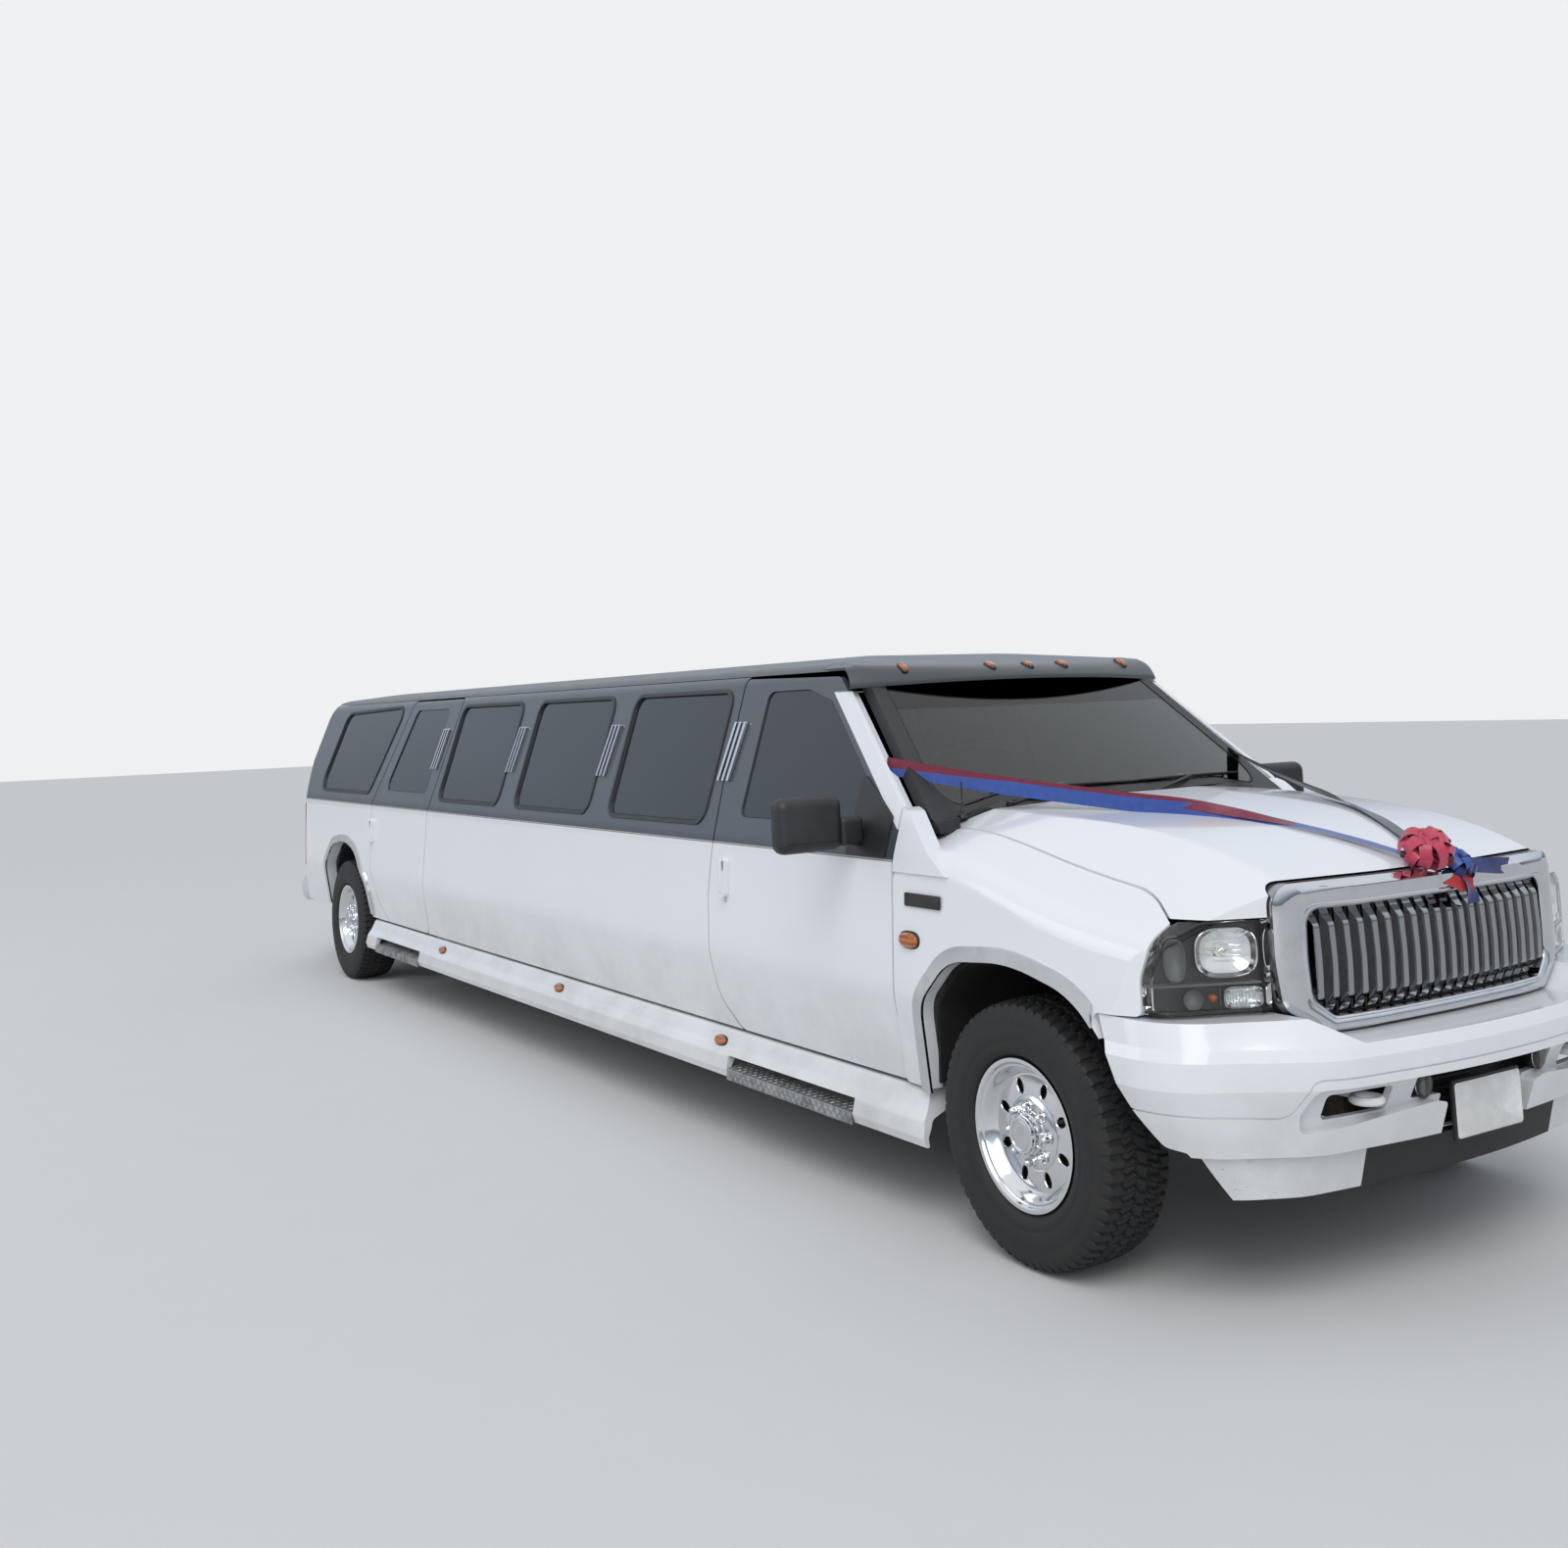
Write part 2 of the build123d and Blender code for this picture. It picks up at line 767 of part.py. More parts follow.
def ring_about_y(section, y_middle, sign):
    """A closed section (outward, radius, corner radius) turned about a wheel's axis."""
    face = Plane(origin=(0, 0, 0), x_dir=(0, sign, 0), z_dir=(sign, 0, 0)) * outline(section)
    return Pos(0, sign * y_middle, 0) * Solid.revolve(face, 360, Axis.Y)


pieces = {}


def add_pair(name, shape):
    """A piece on the right side, and its mirror image on the left as another."""
    pieces[f"{name}_right"] = shape
    pieces[f"{name}_left"] = other_side(shape)


def add_both(name, shapes, middle=()):
    """One piece of shapes on the right side, their mirror images, and any in the middle."""
    pieces[name] = group(list(shapes) + [other_side(shape) for shape in shapes] + list(middle))


# Cabin: its shells, and the layers that glass, frames and louvres are cut from
cabin_outer = cabin_form(0)
cabin_under_skin = cabin_form(skin)
cabin_inner = cabin_form(wall)
cabin_skin = cabin_outer - cabin_under_skin
cabin_wall = cabin_outer - cabin_inner
cabin_core = cabin_under_skin - cabin_inner
glass_layer = cabin_form(glass_depth) - cabin_form(glass_depth + glass_thick)
frame_layer = cabin_form(-frame_proud) - cabin_form(-seat_gap)


def door_panel(door, glass, handle):
    """A door: its skin, a narrower wall behind that clears the opening, and the plate of its handle."""
    outer = cabin_skin & through_right(door)
    inner = cabin_core & through_right(grown(door, -24))
    plate = (cabin_form(-handle_proud) - cabin_outer) & through_right(handle)
    return joined([outer, inner]) - through_right(glass) + plate


# Cabin sides on the right, cut by the doors, the rear arch, the tail doors and the windows
side_box = block((behind_tail, -596), (-outer_reach, -inner_reach), (sill_z, roof_seam_z))
side_box = side_box + block((behind_tail, -7950), (-inner_reach - 1, -1), (sill_z, roof_seam_z))
side_wall = cabin_wall & side_box
for door in (front_door, rear_door):
    side_wall = side_wall - through_right(grown(door, door_gap))
side_wall = side_wall - across(shifted(rear_arch, rear_axle), -outer_reach, -880)
tail_gap_y = tail_half_width + door_gap
side_wall = side_wall - block((behind_tail, -7700), (-tail_gap_y, 0), (tail_foot_z - door_gap, 1900))
windows = [rectangle(span, stretch_window_z, stretch_corner) for span in stretch_windows]
openings = windows + [quarter_glass]
for opening in openings:
    side_wall = side_wall - through_right(opening)
side_panel = part_where(side_wall, lambda middle: -5300 < middle.X < -1900)
quarter = part_where(side_wall, lambda middle: middle.X < -6400)
front_panel = door_panel(front_door, front_glass, front_handle)
rear_panel = door_panel(rear_door, rear_glass, rear_handle)

panes = [glass_layer & through_right(grown(opening, -pane_gap)) for opening in openings]
front_pane = glass_layer & through_right(grown(front_glass, -pane_gap))
rear_pane = glass_layer & through_right(grown(rear_glass, -pane_gap))
frames = [
    frame_layer & (through_right(grown(opening, frame_width)) - through_right(opening)) for opening in openings
]


def louvre_bars(station):
    """The side outlines of one station's three bars."""
    bars = []
    for step in (-louvre_spacing, 0, louvre_spacing):
        low = station + step - louvre_lean / 2
        high = station + step + louvre_lean / 2
        bars.append([
            (low - louvre_half_width, louvre_z[0], louvre_radius),
            (low + louvre_half_width, louvre_z[0], louvre_radius),
            (high + louvre_half_width, louvre_z[1], louvre_radius),
            (high - louvre_half_width, louvre_z[1], louvre_radius),
        ])
    return bars


louvre_outer = cabin_form(-louvre_proud)
louvre_layer = louvre_outer - cabin_form(-seat_gap)
door_louvre_layer = louvre_outer - cabin_outer
louvres = []
for station in ("first_pillar", "second_pillar"):
    for bar in louvre_bars(louvre_stations[station]):
        louvres.append(louvre_layer & through_right(bar))
beside_front_door = cabin_form(-door_clearance) - through_right(front_door)
for bar in louvre_bars(louvre_stations["front_door"]):
    front_panel = front_panel + ((door_louvre_layer & through_right(bar)) - beside_front_door)
for bar in louvre_bars(louvre_stations["rear_door"]):
    rear_panel = rear_panel + (door_louvre_layer & through_right(bar))

add_pair("front_door", front_panel)
add_pair("rear_door", rear_panel)
add_pair("front_door_glass", front_pane)
add_pair("rear_door_glass", rear_pane)
add_both("side_panels", [side_panel])
add_both("quarter_panels", [quarter])
add_both("side_windows", panes)
add_both("window_frames", frames)
add_both("pillar_louvres", louvres)

# Roof
roof = (cabin_outer - cabin_form(roof_wall)) & upward(roof_plan, roof_seam_z + roof_joint, 2000)
pieces["roof_panel"] = roof

# Tail: a lift glass over two doors
lift_box = block((behind_tail, -7800), (-tail_half_width, tail_half_width), (tail_split_z + tail_joint, 1842))
tail_layer = cabin_outer - cabin_form(tail_glass_thick)
ahead_of_tail = block((-7900, -7000), (-outer_reach, outer_reach), (1000, 2000))
pieces["lift_glass"] = (tail_layer & lift_box) - ahead_of_tail
tail_door_z = (tail_foot_z, tail_split_z - tail_joint)
tail_box = block((behind_tail, -7900), (-tail_half_width, -door_gap / 2), tail_door_z)
add_pair("tail_door", cabin_wall & tail_box)

# Wings, hood and headlamps, cut from one form for the whole front end
nose_outer = nose_form(0)
nose_shell = nose_outer - nose_form(wing_wall)
hood_bay = hood_prism(hood_gap)
wing = nose_shell & through_right(wing_side)
wing = wing - hood_bay
wing = wing - block((700, 900), (-700, 0), (200, 1500))
wing = part_where(wing, lambda middle: middle.Y < -700)
wing = joined([wing, cabin_wall & across(pillar_foot, -outer_reach, -800)])
wing = wing - through_right(front_arch) - hood_bay
wing = biggest(wing - block((-700, 100), (-789, 0), (1100, 1500)))
add_both("front_wings", [wing])

hood = nose_outer & hood_prism(0)
hood = hood - Pos(-28, 0, -hood_thick) * nose_outer
hood = hood - block((400, 1000), (-1000, 1000), (200, lamp_top_z + lamp_gap))
hood = hood - along(grown(both_sides(grille_rim_half), lamp_gap), 400, 1000)
pieces["hood"] = biggest(hood)
add_both("headlamps", [nose_shell & across(headlamp_side, -1000, -lamp_inner_y)])

# Windscreen, and the cowl between it and the hood's rear edge, fused to the windscreen's frame
screen_hole = along(both_sides(windscreen_half), -1400, 0)
pieces["windscreen"] = raked_band(0, screen_thick, 1230, 1860) & screen_hole
screen_frame = raked_band(4, 64, 1200, 1880) & along(both_sides(screen_frame_half), -1400, 0)
screen_frame = screen_frame - along(grown(both_sides(windscreen_half), 4), -1400, 0)
cowl = along(both_sides(cowl_half), -602, -300)
cowl = (cowl & across(cowl_slope, -900, 900)) - hood_bay
for sign in (-1, 1):
    cowl = cowl - block((-470, 0), (sign * 795, sign * 1000), (1200, 1400))
cowl = cowl - screen_hole - wing - other_side(wing)
pieces["cowl_panel"] = joined([biggest(cowl), screen_frame])

# Grille: the rim follows the nose, and each bar is its side outline bevelled from above
grille_outer = both_sides(grille_rim_half)
grille_rim = along(grille_outer, 690, 900) - along(both_sides(grille_hole_half), 600, 900)
grille_rim = grille_rim & nose_form(-grille_proud)
grille_parts = [grille_rim, block(*grille_back)]
for index in range(grille_bars):
    y = (index - (grille_bars - 1) / 2) * bar_pitch
    back = bar_bow * (y / 520) ** 2
    bar = across(shifted(bar_side, -back), y - 20, y + 20)
    bevel = upward([(x - back, y + across_y) for x, across_y in bar_plan], 780, 1120)
    grille_parts.append(bar & bevel & along(grille_outer, 600, 900))
pieces["grille"] = joined(grille_parts)


# Front bumper with its openings, and the tow hooks that show through them
def bumper_ring(level, inset):
    """The bumper from above at one height."""
    z, face, half = level
    corner = 260 - inset
    corners = [
        (200, half - inset, 0),
        (640, half - inset, corner),
        (face - 90 - inset, 640, 300),
        (face - inset, 0, 3000),
        (face - 90 - inset, -640, 300),
        (640, inset - half, corner),
        (200, inset - half, 0),
    ]
    return (Pos(0, 0, z) * outline(corners)).outer_wire()


def bumper_solid(inset):
    return Solid.make_loft([bumper_ring(level, inset) for level in bumper_levels], True)


def tow_hook():
    """An eye of round-edged bar on a flat shank, which lies against the outside of the frame rail's end."""
    section = Plane.XZ * outline([(radius, height, 0) for radius, height in hook_section])
    eye = Pos(*hook_eye) * Solid.revolve(section, 360, Axis.Z)
    return joined([eye, block(*hook_shank)])


bumper = bumper_solid(0)
hollow = block((0, 1200), (-outer_reach, outer_reach), (300, bumper_ceiling))
bumper = bumper - (bumper_solid(bumper_thick) & hollow)
bumper = bumper - across(bumper_end, -outer_reach, outer_reach) - block((100, 700), (-664, 664), (300, 900))
bumper = bumper - along(both_sides(bumper_notch_half), 100, 1200)
cover = both_sides(cover_half)
cover_edge = along(cover, 300, 1200) - along(grown(cover, -groove), 200, 1300)
bumper = bumper - (cover_edge - bumper_solid(groove))
bumper = bumper - (along(both_sides(recess_half), 600, 1200) - bumper_solid(recess_depth))
bumper = bumper - along(both_sides(centre_opening_half), 600, 1200)
hook_hole = along(hook_opening, 600, 1200)
bumper = bumper - hook_hole - other_side(hook_hole)
add_both("front_bumper", [tow_hook()], [biggest(bumper)])

# Rear bumper
def rear_ring(z, inset):
    """The rear bumper from above at one height."""
    end_x, end_y = rear_bumper_ends
    corner_x, corner_y, corner_turn = rear_bumper_corner
    face_x, face_y, face_turn = rear_bumper_face
    right = [
        (end_x, end_y - inset, 0),
        (corner_x + inset, corner_y - inset, corner_turn),
        (face_x + inset, face_y, face_turn),
    ]
    return (Pos(0, 0, z) * outline(both_rows(right))).outer_wire()


rear_bumper = Solid.make_loft([rear_ring(z, inset) for z, inset in rear_bumper_levels], True)
rear_bumper = rear_bumper - block((rear_bumper_back_x, -8050), (-outer_reach, outer_reach), (300, 700))
pieces["rear_bumper"] = biggest(rear_bumper)

# Chassis
rail_side = [(x, z, 60) for x, z in rail_bottom]
rail_side[0] = (*rail_bottom[0], 0)
rail_side[-1] = (*rail_bottom[-1], 0)
rail_side += [(rail_bottom[-1][0], rail_top_z, 0), (rail_bottom[0][0], rail_top_z, 0)]
add_both("frame_rails", [across(rail_side, -rail_y[1], -rail_y[0])])
members = [block((x - member_half, x + member_half), (-rail_y[0], rail_y[0]), member_z) for x in cross_members]
outriggers = [
    block((x - outrigger_half, x + outrigger_half), (-rail_y[1], -outrigger_y), outrigger_z)
    for x in cross_members[2:8]
]
add_both("cross_members", outriggers, members + [block(*hitch_bar)])
pieces["tow_receiver"] = block(*receiver) - block(*receiver_bore)

floor = joined([block(*spans) for spans in floor_blocks])
for sign in (-1, 1):
    floor = floor - block((rear_axle - 500, rear_axle + 520), (sign * 680, sign * 1000), (500, 700))
pieces["floor_pan"] = floor


def housing(arch, inner_y, outer_y):
    """A thin shell inside an arch, with a wall on its inner side."""
    shell = across(arch, -outer_y, -inner_y) - across(grown(arch, -housing_thick), -outer_y, -inner_y)
    back = across(arch, -inner_y - 10, -inner_y) & block((-9000, 2000), (-1000, 0), (820, 1200))
    return joined([shell, back]) & block((-9000, 2000), (-1000, 0), (housing_foot, 1200))


front_housing = housing(front_arch, *front_housing_y) & block((-2000, 372), (-2000, 0), (0, 2000))
rear_housing = housing(shifted(rear_arch, rear_axle), *rear_housing_y)
add_both("wheel_housings", [front_housing, rear_housing])

# Springs, axles, shafts, engine and knuckles
springs = [across(shifted(spring_side, x), -spring_y[1], -spring_y[0]) for x in (0, rear_axle)]
add_both("leaf_springs", springs)


def spring_seats(x, foot_z):
    """The blocks on an axle that carry its springs."""
    span = (x - spring_seat_half, x + spring_seat_half)
    seat = block(span, (-spring_y[0], -spring_y[1]), (foot_z, 444))
    return [seat, other_side(seat)]


beam = along(both_sides(beam_half), -beam_depth, beam_depth)
kingpin_eye = upright(eye_radius, *eye_z, 0, -kingpin_y)
arm = other_side(block(*beam_arm))
ends = [kingpin_eye, other_side(kingpin_eye), arm, other_side(arm)]
pieces["front_axle"] = joined([beam] + ends + spring_seats(0, 380))

tube = turned(tube_radius, -tube_end_y, tube_end_y, rear_axle)
case = Pos(rear_axle, 0, tyre_radius) * Sphere(case_radius)
pinion_place = Plane(origin=(rear_axle, 0, tyre_radius), x_dir=(0, 1, 0), z_dir=(1, 0, 0))
pinion = Solid.extrude(pinion_place * round_face(pinion_radius), Vector(pinion_reach, 0, 0))
axle_parts = [tube, case, pinion]
for sign in (-1, 1):
    axle_parts.append(turned(drum_radius, sign * tube_end_y, sign * drum_end_y, rear_axle))
    axle_parts.append(turned(hub_radius, sign * drum_end_y, sign * hub_end_y, rear_axle))
pieces["rear_axle"] = joined(axle_parts + spring_seats(rear_axle, 397))

shafts = []
for (x_a, z_a), (x_b, z_b) in zip(shaft_route, shaft_route[1:]):
    run = Vector(x_b - x_a + 2 * shaft_gap, 0, z_b - z_a)
    place = Plane(origin=(x_a - shaft_gap, 0, z_a), z_dir=run)
    shafts.append(Solid.extrude(place * round_face(shaft_radius), run))
pieces["drive_shaft"] = group(shafts)
pieces["engine_block"] = joined([block(*engine), block(*gearbox)])
pieces["fuel_tank"] = fillet(block(*fuel_tank).edges(), fuel_tank_radius)

brake = turned(brake_radius, *brake_y)
front_hub = turned(hub_radius, *front_hub_y)
plate, low_ear, high_ear = (block(*spans) for spans in knuckle_blocks)
add_pair("knuckle", joined([plate, brake, front_hub, low_ear, high_ear]))


# Wheels and tyres
def tyre(sign):
    section = tyre_half + [(-width, radius) for width, radius in reversed(tyre_half)]
    return ring_about_y(section, track_half, sign)


def rim(sign):
    """A rim with its disc, whose holes lie between the nuts, on one side of the car."""
    body = ring_about_y(rim_section, track_half, sign) + ring_about_y(disc_section, track_half, sign)
    face_y = sign * (track_half + disc_out)
    body = body + turned(plug_radius, face_y - sign * disc_thick, face_y + sign * 30, 0, 0)
    for index in range(lug_count):
        angle = 2 * math.pi * (index + 0.5) / lug_count
        x, z = math.cos(angle) * disc_hole_circle, math.sin(angle) * disc_hole_circle
        body = body - turned(disc_hole_radius, sign * (track_half + 40), sign * (track_half + 90), x, z)
        angle += math.pi / lug_count
        x, z = math.cos(angle) * lug_circle, math.sin(angle) * lug_circle
        body = body + turned(nut_radius, face_y, face_y + sign * nut_height, x, z)
    return body


for side, sign in sides:
    for place, x in (("front", 0), ("rear", rear_axle)):
        pieces[f"wheel_{place}_{side}"] = Pos(x, 0, tyre_radius) * rim(sign)
        pieces[f"tyre_{place}_{side}"] = Pos(x, 0, tyre_radius) * tyre(sign)


# Bright strips round the arches
def arch_trim(arch, layer, limit):
    """A strip round an arch, lying on the panel."""
    strip = across(grown(arch, arch_trim_width), -outer_reach, -850) - across(arch, -outer_reach, -850)
    return (layer & strip) & block(*limit)


nose_proud = nose_form(-arch_trim_proud) - nose_form(-seat_gap)
cabin_proud = cabin_form(-arch_trim_proud) - cabin_form(-seat_gap)
front_trim = arch_trim(front_arch, nose_proud, front_trim_limit)
rear_trim = arch_trim(shifted(rear_arch, rear_axle), cabin_proud, rear_trim_limit)
add_both("arch_trims", [front_trim, rear_trim])

# Running boards with their steps let in
board = along(board_section, board_span[1], board_span[0]) - across(board_front_cut, -outer_reach, -800)
steps = []
for front, rear in step_spans:
    steps.append(along(step_section, rear, front) + block((rear, front), *step_riser))
    board = board - along(step_notch, rear - step_gap, front + step_gap)
    board = board - block((rear - step_gap, front + step_gap), (-904, -880), (300, 450))
add_both("running_boards", [board])
add_both("steps", steps)


# Visor over the windscreen
def visor_wire(y, back, drop):
    place = Plane(origin=(0, y, 0), x_dir=(1, 0, 0), z_dir=(0, -1, 0))
    return (place * outline([(x + back, z + drop, 0) for x, z in visor_profile])).outer_wire()


visor = Solid.make_loft([visor_wire(*place) for place in visor_places])
visor = visor - roof - across(grown(front_door, 9), -outer_reach, outer_reach) - raked_band(4, 66, 1200, 1900)
pieces["roof_visor"] = biggest(visor)

# Door mirrors
head = fillet(block(*mirror_head).edges(), mirror_head_radius)
stem = fillet(block(*mirror_stem).edges(), mirror_stem_radius)
sail = (cabin_form(-sail_proud) - cabin_outer) & across(sail_side, -outer_reach, -800)
add_pair("mirror", joined([head, stem, sail]))


# Lamps
def visor_lamp(y):
    """A lamp on the visor, which falls back and down towards its ends."""
    fall = (y / 420) ** 2
    x, z = visor_lamp_top[0] - 52 * fall, visor_lamp_top[1] - 12 * fall
    length, width, height = visor_lamp_size
    lamp = block((x - length / 2, x + length / 2), (y - width / 2, y + width / 2), (z - height, z))
    return biggest(lamp - visor - roof)


add_both("tail_lamps", [cabin_proud & block(*tail_lamp_zone)])
low_markers = []
for x in board_lamp_stations:
    lamp = block((x - board_lamp_half, x + board_lamp_half), board_lamp_y, board_lamp_z)
    low_markers.append(lamp - board)
low_markers.append(nose_proud & across(wing_marker, -outer_reach, -850))
add_both("marker_lamps", low_markers, [visor_lamp(y) for y in visor_lamp_places])

# Inside
wheel_place = Plane(origin=wheel_middle, z_dir=wheel_tilt)
hoop = wheel_place * Torus(*wheel_hoop)
spokes = [wheel_place * (Rot(0, 0, angle) * Pos(93, 0, 0) * Box(190, 30, 10)) for angle in (0, 120, 240)]
boss = wheel_place * Cylinder(*wheel_boss)
column = Solid.extrude(wheel_place * round_face(column_radius), wheel_place.z_dir * -column_length)
column_hole = Solid.extrude(wheel_place * round_face(column_radius + 2), wheel_place.z_dir * (-column_length - 10))
pieces["steering_wheel"] = joined([hoop, boss, column] + spokes)
pieces["dashboard"] = across(dash_side, -dash_half_width, dash_half_width) - column_hole

seat = across(shifted(seat_side, seat_x), -seat_y - seat_width / 2, -seat_y + seat_width / 2)
add_both("front_seats", [seat])
side_bench = along(side_bench_section, *side_bench_span)
rear_bench = across(rear_bench_side, -rear_bench_half, rear_bench_half)
pieces["lounge_seats"] = group([side_bench, rear_bench])


# Wedding ribbons and their bow on the nose of the hood
def ribbon(points):
    """A flat band whose width stands nearly upright, from point to point."""
    rise = Vector(*ribbon_rise)
    runs = []
    for a, b in zip(points, points[1:]):
        edge = Wire.make_polygon([Vector(*a), Vector(*b), Vector(*b) + rise, Vector(*a) + rise])
        runs.append(Solid.extrude(Face(edge), Vector(*ribbon_thick)))
    return joined(runs)


whole_ribbon = ribbon(ribbon_route)
rear_run = whole_ribbon & block((-1000, ribbon_split[0]), (-1000, 0), (1200, 1600))
add_both("ribbon_rear", [rear_run])
bow = Pos(*bow_middle) * Sphere(bow_core_radius)
for angle in range(0, 360, 60):
    turn = math.radians(angle + 30)
    y, z = bow_ring[0] * math.cos(turn), bow_middle[2] + bow_ring[1] * math.sin(turn)
    bow = bow + Pos(bow_middle[0], y, z) * Rot(90 - angle, 0, 0) * Sphere(bow_loop_radius)
bow = bow - Pos(0, 0, 0.5) * nose_outer
front_run = (whole_ribbon & block((ribbon_split[1], 1000), (-1000, 0), (1200, 1600))) - bow
add_both("bow", [front_run], [bow])

os.makedirs("parts", exist_ok=True)
for name, shape in pieces.items():
    export_step(Pos(axle_to_origin, 0, 0) * shape, f"parts/{name}.step")
print(len(pieces), "pieces")
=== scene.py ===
"""Looks of the stretch limousine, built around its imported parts. Everything is in metres, in the car's frame:
X forward, Y to the car's left, Z up, with the origin on the ground under the middle of the car."""
import math
import random

import bmesh
import bpy
from mathutils import Matrix, Vector
from mathutils.bvhtree import BVHTree


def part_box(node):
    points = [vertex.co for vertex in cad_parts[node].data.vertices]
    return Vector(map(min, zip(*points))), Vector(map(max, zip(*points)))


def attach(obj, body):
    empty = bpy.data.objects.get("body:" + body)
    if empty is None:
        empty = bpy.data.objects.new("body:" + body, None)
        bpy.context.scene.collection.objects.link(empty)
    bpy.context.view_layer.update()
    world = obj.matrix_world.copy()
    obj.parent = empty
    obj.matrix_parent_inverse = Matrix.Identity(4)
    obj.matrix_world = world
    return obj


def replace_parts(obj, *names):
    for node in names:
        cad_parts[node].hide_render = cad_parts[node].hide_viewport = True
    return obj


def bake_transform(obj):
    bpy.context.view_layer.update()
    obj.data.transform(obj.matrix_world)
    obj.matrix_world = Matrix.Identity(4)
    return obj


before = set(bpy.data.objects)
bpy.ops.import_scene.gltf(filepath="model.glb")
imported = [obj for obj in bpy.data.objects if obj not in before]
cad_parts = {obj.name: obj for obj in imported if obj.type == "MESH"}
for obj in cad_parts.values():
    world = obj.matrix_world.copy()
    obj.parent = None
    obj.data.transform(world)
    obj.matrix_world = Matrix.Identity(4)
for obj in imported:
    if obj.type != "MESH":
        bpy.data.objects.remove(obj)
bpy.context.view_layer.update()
random.seed(7)

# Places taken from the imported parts
tyre_low, tyre_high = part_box("tyre_front_right")
front_axle_x = (tyre_low.x + tyre_high.x) / 2
rear_axle_x = sum(corner.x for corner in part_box("tyre_rear_right")) / 2
axle_z = (tyre_low.z + tyre_high.z) / 2
tyre_radius = (tyre_high.z - tyre_low.z) / 2
tyre_middle_y = (tyre_low.y + tyre_high.y) / 2

# The belt line, where the two paints meet
belt_z = 1.187

sides = (("right", -1), ("left", 1))
ends = (("front", front_axle_x), ("rear", rear_axle_x))
forward_x, left_y, up_z = Vector((1, 0, 0)), Vector((0, 1, 0)), Vector((0, 0, 1))

# The photograph's camera, measured from the front axle
camera_from_axle = Vector((3.876, -4.182, 1.720))
camera_yaw = math.radians(32.0)
camera_pitch = math.radians(6.62)
camera_roll = math.radians(-2.12)
photo_width, photo_height = 1600, 1580
focal_pixels = 1602.2
optical_row = 536.3
sensor_width = 36.0


def link(name, data):
    """A new object in the scene that holds the data."""
    made = bpy.data.objects.new(name, data)
    bpy.context.scene.collection.objects.link(made)
    return made


def toward(x, y, z):
    """A direction, of length 1."""
    return Vector((x, y, z)).normalized()


def make_camera():
    ahead = Vector((
        -math.cos(camera_yaw) * math.cos(camera_pitch),
        math.sin(camera_yaw) * math.cos(camera_pitch),
        math.sin(camera_pitch),
    ))
    level_right = ahead.cross(up_z).normalized()
    level_up = level_right.cross(ahead)
    right = level_right * math.cos(camera_roll) + level_up * math.sin(camera_roll)
    up = level_up * math.cos(camera_roll) - level_right * math.sin(camera_roll)
    data = bpy.data.cameras.new("camera")
    data.sensor_width = sensor_width
    data.lens = focal_pixels / photo_width * sensor_width
    data.shift_y = -(photo_height / 2 - optical_row) / photo_width
    data.clip_end = 200
    camera = link("camera", data)
    turn = Matrix((right, up, -ahead)).transposed().to_4x4()
    place = Vector((front_axle_x, 0, 0)) + camera_from_axle
    camera.matrix_world = Matrix.Translation(place) @ turn
    bpy.context.scene.camera = camera


# Where the paints and glass change: half the blur of a sharp change, and the two shades of white
seam = 0.0015
white_shades = ((0.74, 0.765, 0.80), (0.80, 0.81, 0.825))

# The side above the belt: its place at the belt, its lean in per metre, and the louvres' foot and top
upper_side_y = 0.9984
upper_side_lean = 0.3246
louvre_z = (1.428, 1.669)

# The white strip on the front door's frame: its foot, its top and its width
pillar_low = (front_axle_x - 0.606, 0, 1.366)
pillar_high = (front_axle_x - 1.106, 0, 1.772)
pillar_width = 0.062

# The grille's bars: their faces at the middle, how far these fall back at a distance from it, and how
# deep the bright bevel goes before the painted shade of the gaps
bar_face_x = front_axle_x + 0.829
bar_bow = 0.042
bar_bow_at = 0.520
bar_bevel = 0.034

# The foot of the windscreen's black band, which is painted shade of the visor, and the black middle of the
# bumper's valance
visor_shade_z = 1.700
valance_z = 0.448
valance_half_y = 0.442


# Materials

